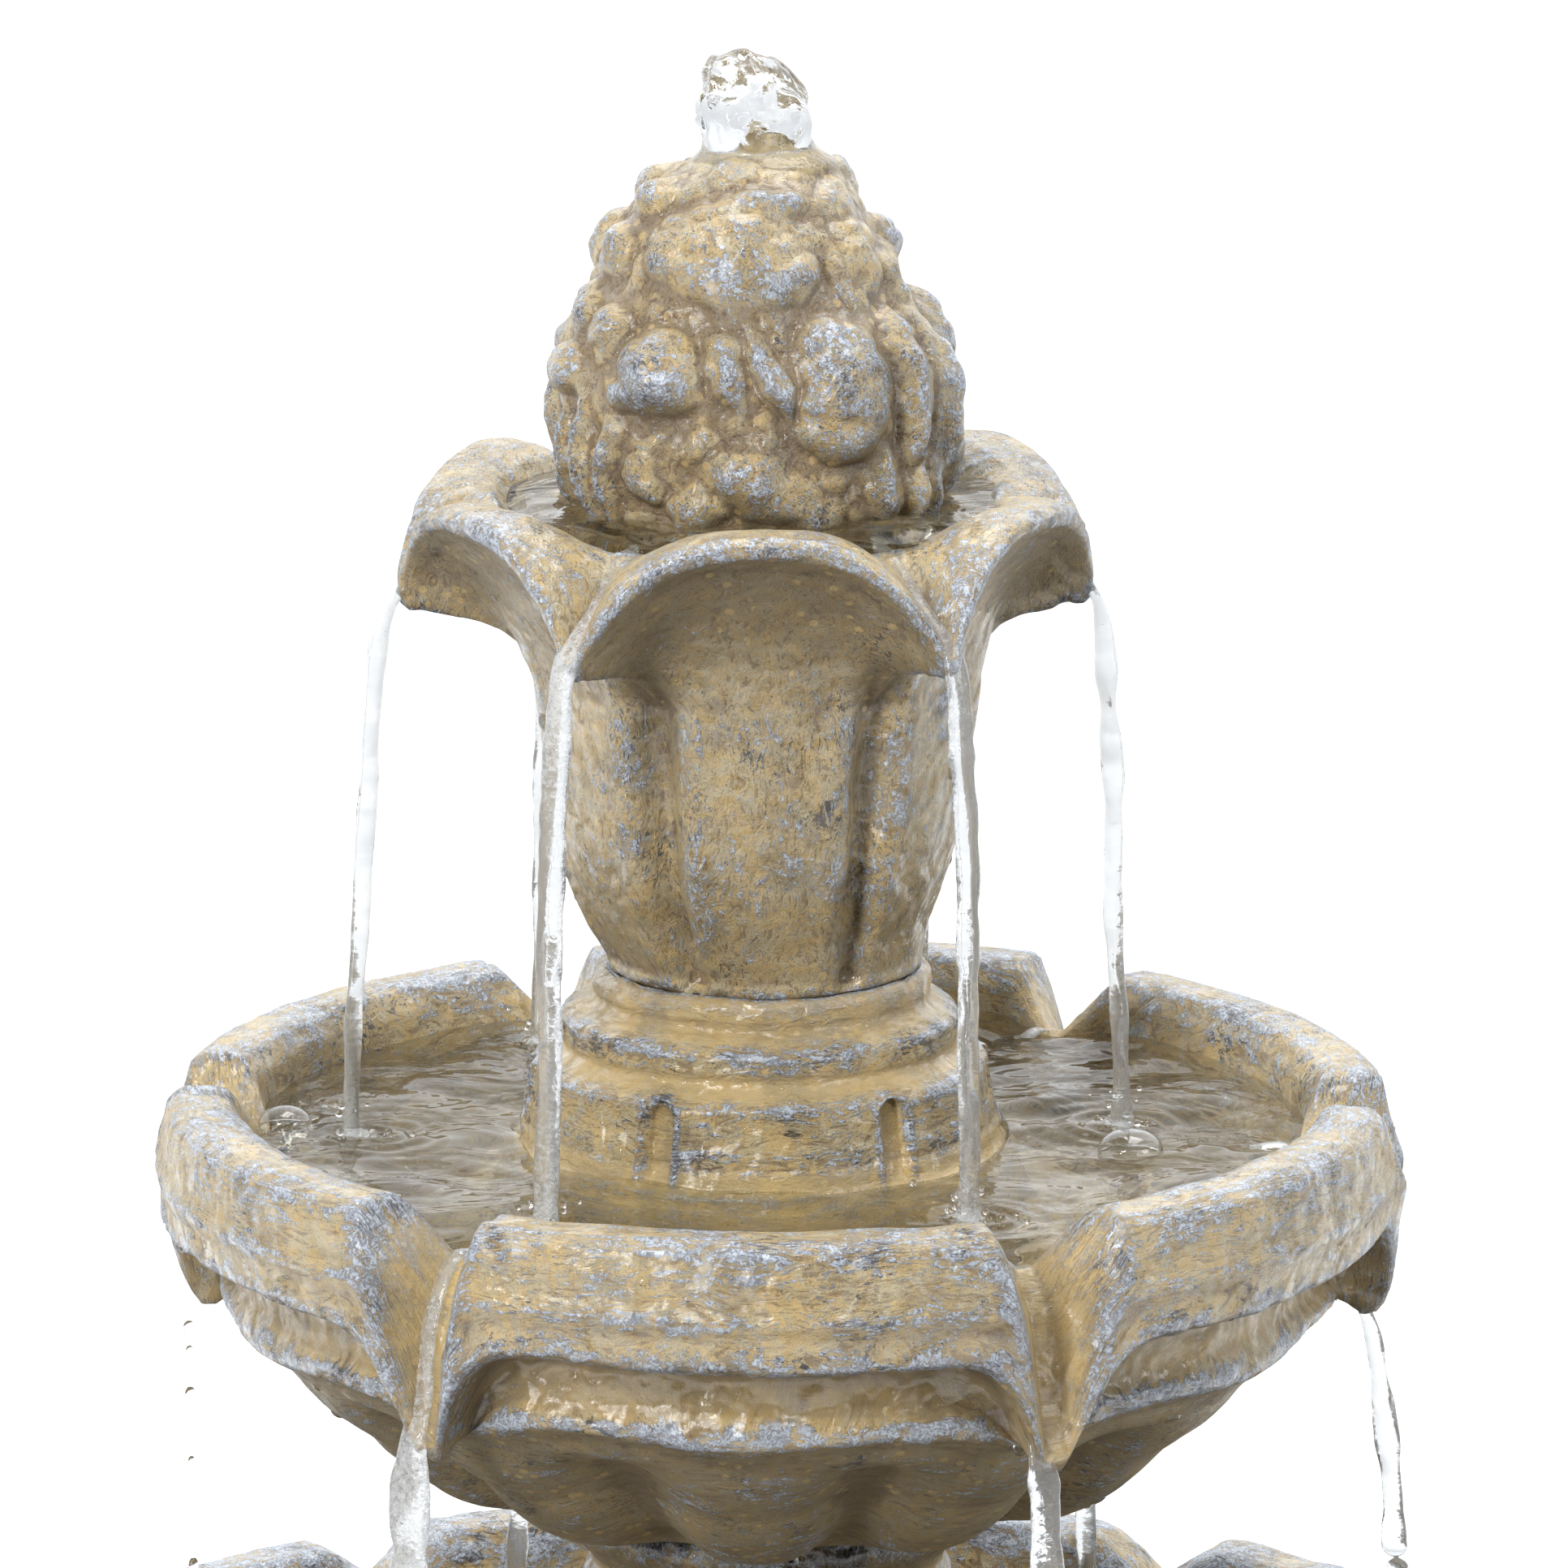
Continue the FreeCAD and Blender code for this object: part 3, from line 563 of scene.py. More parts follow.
LOWER_STATIONS = plain_stations(20, [(0.6, 210.3)]) + plain_stations(20, [(95, 210.3)], 8)
LOWER_STATIONS += plain_stations(20, [(98, 176.3), (111.2, 176.3)], 6)
LOWER_STATIONS += plain_stations(20, [(111.2, 186.4)], 2)
LOWER_STATIONS += plain_stations(20, [(128, 186.4)], 3) + plain_stations(20, [(134, 187.5)])
LOWER_STATIONS += [((322, 281), (322, 281), 30, 1, 0.13, 1)]
LOWER_STATIONS += plain_stations(30, [(329, 281), (338, 284)]) + filled([
    ((344, 293), (343, 292), 30, 1.4, 0.1), ((343, 304), (342, 303), 30, 1.4),
    ((345.5, 310), (343, 307), 34, 1.4), ((343, 316), (341, 311), 34, 1.4),
    ((344, 334), (340, 318), 34, 1.4), ((341, 343), (336, 323), 32, 1.3, 0.15),
    ((334, 345.5), (331, 325), 30, 1.2), ((322, 345.5), (323, 325), 30, 1.2),
    ((315, 343), (317, 323), 30, 1.2, 0.15), ((311, 335), (313, 320), 30, 1.2),
    ((306, 300), (306, 300), 30, 1), ((232, 225.3), (232, 225.3), 30, 1, 0.13),
], 4)
LOWER_STATIONS += plain_stations(30, [(118, 225.3)], 3) + plain_stations(30, [(0.6, 225.3)], 8)


def lower_basin():
    """The catch basin, with notches in its rim and flutes under it."""
    first = facing_angle(LOWER_FACING)
    turns = spout_turns(first, 340, 1.8, 3.8, 36)
    radius, height = lobed_grid(LOWER_STATIONS, 2.7, turns, first, 340)
    wave = np.cos((turns - first) * 18)
    under = smoothstep(276, 262, height) * smoothstep(140, 190, radius) * (height > 187)
    under = under * (np.arange(len(radius)) < len(radius) * 0.5)[:, None]
    height = height - under * (np.abs(wave) ** 0.7 - 0.5) * 5
    grid = placed(radius, height, turns)
    plain = band(height, 286, 296, 303, 309) * (radius > 335)
    return cast("lower_basin_casting", grid, "catch_basin", "lower_basin", "round", 113, plain=plain,
                wobble=1.3)


COLUMN_STATIONS = filled([
    (88.3, 225.4), (117, 225.4, 0, 3), (118, 228), (118, 258), (115, 263, 0.15), (108, 266),
    (107, 269, -0.2), (107, 283, 0.38), (104, 287), (96, 297, -0.1), (84, 311), (57.5, 372, -0.08),
    (58.5, 405, -0.04), (64, 420), (68, 423, 0.2), (69, 428, 0.2), (66, 431), (71, 440, -0.1),
    (81, 449, -0.05), (84, 452, 0.1), (84, 460, 0.1), (82, 462.8), (60, 462.8, 0, 4), (60, 470.8, 0, 4),
    (42.3, 470.8, 0, 4), (42.3, 330, 0, 6), (88.3, 290, 0, 6),
], 2)


def column():
    """The fluted column between the lower two basins, with four ports in its foot."""
    turns = even_turns(420)
    radius, height = turned_grid(COLUMN_STATIONS, 1.7, turns)
    wave = np.cos(turns * 12)
    waist = band(height, 318, 335, 400, 416) * (radius > 50) * (radius < 86)
    waist = waist * (np.arange(len(radius)) < len(radius) * 0.72)[:, None]
    radius = radius - waist * (np.clip(wave, 0.1, 1) - 0.1) * 3.4
    grid = placed(radius, height, turns)
    plain = band(height, 262, 265, 269, 273)
    plain = np.clip(plain + band(height, 430, 433, 437, 441), 0, 1)
    piece = cast("column_casting", grid, "shaft", "column", "up", 131, plain=plain)
    for port in range(4):
        cut_port(piece, math.radians(45 + 90 * port))
    return piece


def cut_port(piece, angle):
    """Cuts one arched opening through the column's foot."""
    half, shoulder, low = 16, 242, 215
    arch = [(half * math.cos(t), shoulder + half * math.sin(t)) for t in np.linspace(0, math.pi, 19)]
    section = [(half, low)] + arch + [(-half, low)]
    ring = []
    for distance in (72, 126):
        for side, height in section:
            ring.append((distance * math.cos(angle) - side * math.sin(angle),
                         distance * math.sin(angle) + side * math.cos(angle), height))
    count = len(section)
    faces = [(i, (i + 1) % count, (i + 1) % count + count, i + count) for i in range(count)]
    faces += [tuple(range(count))[::-1], tuple(range(count, 2 * count))]
    cutter = mesh_of("port_cutter", ring, faces, smooth=False)
    mesh = cutter.data
    tool = piece.modifiers.new("port", "BOOLEAN")
    tool.operation = "DIFFERENCE"
    tool.solver = "FAST"
    tool.object = cutter
    applied(piece)
    bpy.data.objects.remove(cutter)
    bpy.data.meshes.remove(mesh)


def applied(piece):
    """Makes the modifiers' result the piece's own mesh."""
    bpy.context.view_layer.update()
    graph = bpy.context.evaluated_depsgraph_get()
    result = bpy.data.meshes.new_from_object(piece.evaluated_get(graph))
    piece.modifiers.clear()
    old = piece.data
    piece.data = result
    bpy.data.meshes.remove(old)


PEDESTAL_STATIONS = filled([
    (126, 3.2), (149, 3.2, 0, 3), (150, 6), (150, 32), (147, 37, 0.15), (141, 40), (132, 44, -0.1),
    (131, 64, 0.4), (127, 66), (116, 71, -0.1), (98, 105, -0.03), (97.5, 130, -0.05), (104, 150, -0.03),
    (116, 168, -0.04), (126, 174), (128.5, 178, 0.1), (128, 185.6, 0.1), (112.3, 185.6, 0, 4),
    (112.3, 170, 0, 6), (92, 150, 0, 6), (84.3, 120, -0.05, 6), (104, 72, 0, 6), (116, 60, 0, 6),
    (118, 44, 0, 6), (126, 30, 0, 6),
], 2)


def base_pedestal():
    """The foot that carries the lower basin."""
    turns = even_turns(440)
    radius, height = turned_grid(PEDESTAL_STATIONS, 1.9, turns)
    wave = np.cos(turns * 14)
    waist = band(height, 74, 90, 148, 166)
    waist = waist * (np.arange(len(radius)) < len(radius) * 0.8)[:, None]
    radius = radius - waist * np.clip(wave, 0, 1) * 4
    grid = placed(radius, height, turns)
    plain = band(height, 36, 40, 46, 50)
    return cast("base_pedestal_casting", grid, "base", "base_pedestal", "up", 151, plain=plain, wobble=1.2)


# ---------------------------------------------------------------- water

def rings_mesh(name, rings, froth=None):
    """A watertight mesh through rings of equal point counts, closed at both ends by one face each."""
    count, around = rings.shape[:2]
    faces = grid_faces(count, around, loop=False).tolist()
    faces.append(list(range(around))[::-1])
    faces.append(list(range((count - 1) * around, count * around)))
    side = np.cross(rings[0, 1] - rings[0, 0], rings[1, 0] - rings[0, 0])
    if np.dot(side, rings[0, 0] - rings[0].mean(axis=0)) < 0:
        faces = [face[::-1] for face in faces]
    piece = mesh_of(name, rings.reshape(-1, 3), faces)
    values = np.zeros(rings.shape[:2]) if froth is None else np.repeat(froth[:, None], around, axis=1)
    store(piece, "froth", values.ravel())
    return piece


def smooth_line(points, spacing):
    """Even points along a soft curve through the given (radius, height) ones, and how far along each lies."""
    points = np.array(points, float)
    ends = np.concatenate([[2 * points[0] - points[1]], points, [2 * points[-1] - points[-2]]])
    curve = []
    for a, b, c, d in zip(ends, ends[1:], ends[2:], ends[3:]):
        t = np.linspace(0, 1, 40, endpoint=False)[:, None]
        curve.append(0.5 * (2 * b + (c - a) * t + (2 * a - 5 * b + 4 * c - d) * t ** 2
                            + (3 * b - a - 3 * c + d) * t ** 3))
    curve = np.concatenate(curve + [points[-1:]])
    length = np.concatenate([[0], np.cumsum(np.linalg.norm(np.diff(curve, axis=0), axis=1))])
    where = np.linspace(0, length[-1], max(8, round(length[-1] / spacing)))
    return np.stack([np.interp(where, length, curve[:, axis]) for axis in range(2)], axis=-1), where


def stream(name, line, facing, widths, depths, froths, seed, lip, spacing=1.6):
    """A falling ribbon of water: a closed tube with ribs that twist and pinch along it.

    line is (radius, height) points; widths and depths are half sizes along it, froths 0 to 1. Its unevenness
    depends on height, so two lengths of one stream agree where they meet. It wanders below the lip.
    """
    path, where = smooth_line(line, spacing)
    angle = facing_angle(facing)
    out = np.array([math.cos(angle), math.sin(angle), 0])
    across = np.array([-math.sin(angle), math.cos(angle), 0])
    share = where / where[-1]
    centre = path[:, :1] * out + path[:, 1:2] * np.array([0, 0, 1.0])
    down = path[:, 1]
    free = smoothstep(0, 60, lip - 12 - down)
    key = np.stack([down, down * 0 + seed * 37.0, down * 0], axis=-1)
    centre = centre + across * (noise(key, 46, seed) * 1.6 * free)[:, None]
    centre = centre + out * (noise(key, 52, seed + 1) * 1.3 * free)[:, None]
    ahead = np.gradient(centre, axis=0)
    ahead = ahead / np.linalg.norm(ahead, axis=1, keepdims=True)
    up = np.cross(across[None], ahead)
    up = up / np.linalg.norm(up, axis=1, keepdims=True)
    stops = np.linspace(0, 1, len(widths))
    wide = 1 + 0.16 * noise(key, 17, seed + 2) + 0.10 * noise(key, 6, seed + 3)
    wide = np.interp(share, stops, widths) * wide
    deep = np.interp(share, np.linspace(0, 1, len(depths)), depths) * (1 + 0.22 * noise(key, 13, seed + 4))
    ends = np.sqrt(np.clip(np.minimum(where, where[-1] - where) / 3 + 0.02, 0.02, 1))
    twist = noise(key, 60, seed + 5) * 0.4 * free
    turn = even_turns(26)[None, :]
    flow = np.stack([np.cos(turn) * 3 + down[:, None] * 0, np.sin(turn) * 3 + down[:, None] * 0,
                     down[:, None] * 0.35 + turn * 0], axis=-1)
    swell = 1 + 0.13 * fractal(flow * np.array([1, 1, 0.6]), 3.2, 2, seed + 6)
    side = np.cos(turn) * wide[:, None] * swell * ends[:, None]
    lift = np.sin(turn) * deep[:, None] * swell * ends[:, None]
    turned = twist[:, None]
    rings = centre[:, None, :] + across * (side * np.cos(turned) - lift * np.sin(turned))[..., None]
    rings = rings + up[:, None, :] * (side * np.sin(turned) + lift * np.cos(turned))[..., None]
    froth = np.interp(share, np.linspace(0, 1, len(froths)), froths)
    return rings_mesh(name, rings, froth)


def falling(radius, height, low, reach, steps=9):
    """Points of a free fall from a lip down to low, landing reach further out."""
    points = []
    for step in range(1, steps + 1):
        drop = (height - low) * (step / steps) ** 1.5
        share = math.sqrt(drop / (height - low))
        points.append((radius + reach * share, height - drop))
    return points


# Facing of the spout, how far out it lands, half widths, froth at lip, middle and foot
TOP_STREAMS = [
    (-87, 17, (3.2, 4.4, 4.0, 3.8, 3.9, 4.4), (0.25, 0.05, 0.05, 0.35)),
    (-27, 18, (4.4, 5.4, 5.4, 5.6, 5.2, 5.6), (0.7, 0.3, 0.25, 0.6)),
    (33, 13, (3.6, 4.8, 4.8, 4.4, 4.4, 4.6), (0.4, 0.15, 0.15, 0.5)),
    (93, 11, (3.6, 7.0, 5.2, 4.4, 4.6, 6.4), (0.2, 0.05, 0.05, 0.4)),
    (153, 13, (3.2, 4.2, 4.2, 3.8, 3.6, 4.0), (0.3, 0.1, 0.1, 0.4)),
    (213, 15, (3.2, 4.4, 4.0, 3.8, 3.6, 4.0), (0.3, 0.1, 0.1, 0.4)),
]
MIDDLE_STREAMS = [
    (-34, 5, (4.0, 6.5, 8.5, 9.0, 9.0, 8.5), (0.15, 0.5, 0.6, 0.7)),
    (26, 14, (4.0, 6.0, 6.4, 6.0, 5.6, 5.6), (0.1, 0.1, 0.15, 0.3)),
    (86, 27, (3.6, 4.2, 4.0, 3.8, 3.6, 3.6), (0.1, 0.05, 0.05, 0.1)),
    (146, 15, (4.0, 5.2, 5.0, 4.6, 4.4, 4.4), (0.1, 0.1, 0.1, 0.3)),
    (206, 15, (4.0, 5.2, 5.0, 4.6, 4.4, 4.4), (0.1, 0.1, 0.1, 0.3)),
]
DRIPPING = 266

# The ways of the water over the spouts
TOP_SPOUT = [(83, 827), (91, 827), (98, 825.5), (106, 820), (114, 813.5), (122, 808), (130, 802.5),
             (137, 796)]
MIDDLE_SPOUT = [(174, 591), (182, 592), (190, 593), (197, 590), (203.5, 581.5), (208.5, 570.5), (210.5, 560),
                (212.5, 549), (215, 539.5), (217.5, 533)]


def top_streams():
    """Water from the bowl's spouts to the middle pool."""
    pieces = []
    for index, (facing, reach, widths, froths) in enumerate(TOP_STREAMS):
        line = TOP_SPOUT + falling(138, 794, MIDDLE_WATER - 5, reach)
        piece = stream(f"top_stream_{index + 1}", line, facing, (2.5,) + widths,
                       (1.2, 1.6, 3.6, 3.6, 3.2, 3.2, 3.4), (0.2,) + froths, 400 + 10 * index, 794)
        follow_flower(piece)
        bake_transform(piece)
        pieces.append(piece)
    return pieces


def follow_flower(piece):
    """Moves a finished mesh sideways as the hand-made flower stands."""
    where = np.zeros(len(piece.data.vertices) * 3, dtype=np.float32)
    piece.data.vertices.foreach_get("co", where)
    x = where[0::3] / MM
    where[0::3] = (x + UPPER_SHIFT + flower_lean(x)) * MM
    piece.data.vertices.foreach_set("co", where)


def middle_streams():
    """Water from the middle basin to the lower pool, in two lengths."""
    pieces = []
    for index, (facing, reach, widths, froths) in enumerate(MIDDLE_STREAMS):
        raised = SIDE_SPOUTS[1] * max(0, math.sin(math.radians(facing))) ** 4
        line = [(radius, height + raised * (height < 575)) for radius, height in MIDDLE_SPOUT]
        whole = falling(218, 530 + raised, LOWER_WATER - 5, reach, steps=48)
        upper = line + [point for point in whole if point[1] > 432]
        lower = [point for point in whole if point[1] < 440]
        first = stream(f"middle_stream_{index + 1}", upper, facing, (3.0, 3.0, 3.2) + widths,
                       (1.0, 1.0, 1.1, 1.4, 3.4, 4.2, 4.2, 4.2), froths, 500 + 10 * index, 530)
        second = stream(f"middle_fall_{index + 1}", lower, facing, (widths[-1],) * 2, (4.2, 4.2), froths[-2:],
                        500 + 10 * index, 530)
        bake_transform(first)
        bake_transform(second)
        pieces += [first, second]
    return pieces


def surface_waves(x, y, landings, seed):
    """Height of a pool's waves: crossing ripples, and rings round each place where a stream lands."""
    points = np.stack([x * 0.8, y * 1.1, x * 0], axis=-1)
    total = fractal(points, 42, 2, seed) * 2.0 + fractal(points, 18, 2, seed + 3) * 0.8
    for centre_x, centre_y in landings:
        away = np.hypot(x - centre_x, y - centre_y)
        total = total + 1.5 * np.cos(away * 2 * math.pi / 9.5) * np.exp(-away / 16)
    return total


def pool(name, top, under, level, body, landings, shift, first, arc_radius=225, seed=0, around=420,
         fine=2.0):
    """A pool as one closed solid: a rippled top, and a skin that lies just inside the casting all round.

    top and under are (lobe point, spout point) pairs; the first of top is at the wall in the middle.
    """
    stations = [(lobe, spout, 26, 1.2, 0, 1) for lobe, spout in top]
    stations += [(lobe, spout, 26, 1.2, 0, 4) for lobe, spout in under]
    turns = even_turns(around)
    radius, height = lobed_grid(stations, fine, turns, first, arc_radius, flat=4)
    grid = placed(radius, height, turns)
    rows = np.arange(len(radius))
    edge_row = int(np.argmax(radius[:, 0]))
    inner = (rows <= edge_row)[:, None]
    edge_fade = smoothstep(0, 6, radius.max(axis=0) - radius) * 0.75 + 0.25
    grid[..., 2] += surface_waves(grid[..., 0], grid[..., 1], landings, seed) * inner * edge_fade
    grid = off_centre(grid, shift, 100, 140)
    piece = closed_mesh(name, grid)
    store(piece, "froth", splash_froth(grid.reshape(-1, 3), landings, level))
    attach(piece, body)
    return piece


def splash_froth(points, landings, level):
    """Whiteness of a pool's points, near the places where streams land and at the surface only."""
    froth = np.zeros(len(points))
    for x, y in landings:
        away = np.hypot(points[:, 0] - x, points[:, 1] - y)
        froth = np.maximum(froth, 0.8 * np.exp(-(away / 9) ** 2))
    return froth * (points[:, 2] > level - 5)


def landing_places(streams, lip, shift):
    """Where each stream meets the pool below, as (x, y)."""
    places = []
    for facing, reach, *_ in streams:
        distance = lip + reach
        x = distance * math.cos(facing_angle(facing))
        lean = flower_lean(x) if streams is TOP_STREAMS else 0
        places.append((x + shift + lean, distance * math.sin(facing_angle(facing))))
    return places


def same(*points):
    """Pairs of a lobe's and a spout's point for the rings that are plain circles."""
    return [(point, point) for point in points]


def pools():
    """The water in the three basins."""
    middle_landings = landing_places(TOP_STREAMS, 135, UPPER_SHIFT)
    lower_landings = landing_places(MIDDLE_STREAMS, 218, MIDDLE_SHIFT)
    middle = pool(
        "middle_pool",
        same((89, 595), (170, 595)) + [((198.5, 595), (191, 590.5))],
        [((196, 583), (187, 578)), ((186, 553), (182, 551))] + same((142, 513), (98, 513), (93, 570)),
        MIDDLE_WATER, "middle_tier", middle_landings, MIDDLE_SHIFT, facing_angle(MIDDLE_FACING), seed=701)
    top = pool(
        "top_pool",
        same((64, 833), (86, 833)) + [((95, 833), (94, 829))],
        [((92, 826), (90, 822))] + same((85, 813.5), (60, 813.5)),
        TOP_WATER, "top_tier", [], UPPER_SHIFT, facing_angle(BOWL_FACING), arc_radius=100, seed=721,
        around=260, fine=1.4)
    lower = pool(
        "lower_pool",
        same((79, 315), (200, 315), (310.5, 315)),
        same((308, 302), (288, 256), (233, 223.5), (119, 223.5), (117, 255), (106, 266), (105, 285),
             (94, 296)),
        LOWER_WATER, "catch_basin", lower_landings, 0, facing_angle(LOWER_FACING), arc_radius=300, seed=741,
        around=360, fine=3.0)
    return [middle, top, lower]


def bubbler():
    """The low jet on top: a lumpy dome of water that spreads over the finial."""
    profile = [(0.6, 996), (6, 995), (11.5, 992), (15, 987), (17.5, 981.5), (21, 976), (22.5, 970), (22, 964),
               (21.5, 960), (24, 957.5), (26.5, 955.5), (27, 952.5), (19, 953), (10, 957), (0.6, 958)]
    path, _ = smooth_line(profile, 0.9)
    turns = even_turns(150)
    radius, height = swept(path, turns)
    grid = placed(np.maximum(radius, 0.05), height, turns)
    high = smoothstep(958, 966, height)[..., None]
    push = [fractal(grid, 17, 2, 801), fractal(grid, 17, 2, 811), fractal(grid, 15, 2, 821) * 0.5]
    push = np.stack(push, axis=-1)
    small = fractal(grid * np.array([1, 1, 0.6]), 6.5, 2, 831)
    radial = grid - np.array([0, 0, 974.0])
    radial = radial / np.linalg.norm(radial, axis=-1, keepdims=True)
    grid = grid + high * (push * 4.6 + radial * (small[..., None] * 2.0 - 0.6))
    grid[..., 0] += -5 * smoothstep(950, 975, height) - 3.5 * smoothstep(976, 992, height)
    piece = rings_mesh("bubbler", grid)
    white = smoothstep(0.3, 0.9, fractal(grid, 8, 3, 841) + 0.2 * smoothstep(982, 965, height))
    white = white * smoothstep(956, 962, height)
    piece.data.attributes["froth"].data.foreach_set("value", (white * 0.3).astype(np.float32).ravel())
    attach(piece, "crown")
    return [piece]


def beads(name, places, body, squash=1.0, around=12, rows=7):
    """Many small closed drops in one mesh. A place is (centre, outward direction, radius, height share)."""
    points, faces = [], []
    for centre, out, radius, tall in places:
        out = np.array(out) / np.linalg.norm(out)
        side = np.cross(out, (0.3, 0.9, 0.2))
        side = side / np.linalg.norm(side)
        other = np.cross(out, side)
        start = len(points)
        centre = np.array(centre)
        points.append(centre + out * radius * tall)
        for row in range(1, rows):
            tilt = math.pi * row / rows
            for step in range(around):
                turn = 2 * math.pi * step / around
                flat = side * math.cos(turn) + other * math.sin(turn) * squash
                away = flat * math.sin(tilt) + out * math.cos(tilt) * tall
                points.append(centre + away * radius)
        points.append(centre - out * radius * tall)
        last = len(points) - 1
        for step in range(around):
            beside = (step + 1) % around
            faces.append((start, start + 1 + step, start + 1 + beside))
            for row in range(rows - 2):
                a = start + 1 + row * around
                faces.append((a + step, a + around + step, a + around + beside, a + beside))
            a = start + 1 + (rows - 2) * around
            faces.append((a + step, last, a + beside))
    piece = mesh_of(name, points, faces)
    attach(piece, body)
    return piece


def drops_on(casting, body, count, seed, low, high):
    """Still drops scattered over a casting's outside between two heights."""
    mesh = casting.data
    where = np.zeros(len(mesh.vertices) * 3)
    mesh.vertices.foreach_get("co", where)
    where = where.reshape(-1, 3) / MM
    normal = np.zeros(len(mesh.vertices) * 3)
    mesh.vertices.foreach_get("normal", normal)
    normal = normal.reshape(-1, 3)
    outside = (where[:, :2] * normal[:, :2]).sum(axis=1) > 0.15 * np.hypot(where[:, 0], where[:, 1])
    allowed = np.where(outside & (where[:, 2] > low) & (where[:, 2] < high))[0]
    draw = np.random.default_rng(seed)
    places = []
    for index in draw.choice(allowed, count, replace=False):
        radius = draw.choice([0.7, 1.0, 1.4, 2.0, 2.9], p=[0.22, 0.26, 0.22, 0.18, 0.12])
        radius = radius * draw.uniform(0.85, 1.15)
        places.append((where[index] - normal[index] * radius * 0.08, normal[index], radius, 0.42))
    return beads(casting.name.replace("casting", "drops"), places, body, squash=1.15)


def splashes():
    """Bubbles and flung drops where the streams land."""
    draw = np.random.default_rng(SEED + 40)
    pieces = []
    for name, body, streams, lip, shift, level, count in (
            ("middle_splash", "middle_tier", TOP_STREAMS, 135, UPPER_SHIFT, MIDDLE_WATER, 46),
            ("lower_splash", "catch_basin", MIDDLE_STREAMS, 218, MIDDLE_SHIFT, LOWER_WATER, 40)):
        places = []
        for x, y in landing_places(streams, lip, shift):
            for _ in range(count):
                away, turn = abs(draw.normal(0, 8)) + 2, draw.uniform(0, 2 * math.pi)
                radius = draw.uniform(0.5, 1.7)
                lift = radius * 0.2 if draw.random() < 0.8 else draw.uniform(1, 14)
                places.append(((x + away * math.cos(turn), y + away * math.sin(turn), level + lift),
                               (0, 0, 1), radius, 0.95))
        pieces.append(beads(name, places, body, around=10, rows=6))
    return pieces


def floating_bubbles():
    """Two round bubbles that drift on the middle pool, as thin shells."""
    pieces = []
    for index, (x, y, radius) in enumerate([(-184, 8, 10), (128, -30, 12)]):
        arc = np.linspace(0.02, math.pi / 2 + 0.25, 16)
        outer = [(radius * math.sin(t), radius * math.cos(t) * 0.64) for t in arc]
        inner = [((radius - 0.5) * math.sin(t), (radius - 0.5) * math.cos(t) * 0.64) for t in arc[::-1]]
        turns = even_turns(48)
        grid = placed(*swept(np.array(outer + inner), turns), turns)
        grid = grid + np.array([x + MIDDLE_SHIFT, y, MIDDLE_WATER + 0.6])
        piece = rings_mesh(f"floating_bubble_{index + 1}", grid)
        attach(piece, "middle_tier")
        pieces.append(piece)
    return pieces


def drips():
    """The spout that only drips, and the drop that hangs under the middle basin."""
    angle, up = facing_angle(DRIPPING), (0, 0, 1)
    x, y = 222 * math.cos(angle) + MIDDLE_SHIFT, 222 * math.sin(angle)
    sizes = ((505, 1.6), (488, 2.2), (462, 1.4), (421, 2.0), (398, 1.5), (352, 1.8))
    falls = [((x, y, height), up, radius, 1.5) for height, radius in sizes]
    hanging = [((3 + MIDDLE_SHIFT, -101, 461.5), up, 3.4, 1.25), ((x, y, 514), up, 2.4, 1.3)]
    return [beads("falling_drops", falls, "catch_basin"),
            beads("hanging_drops", hanging, "middle_tier", around=20, rows=14)]


# ---------------------------------------------------------------- materials

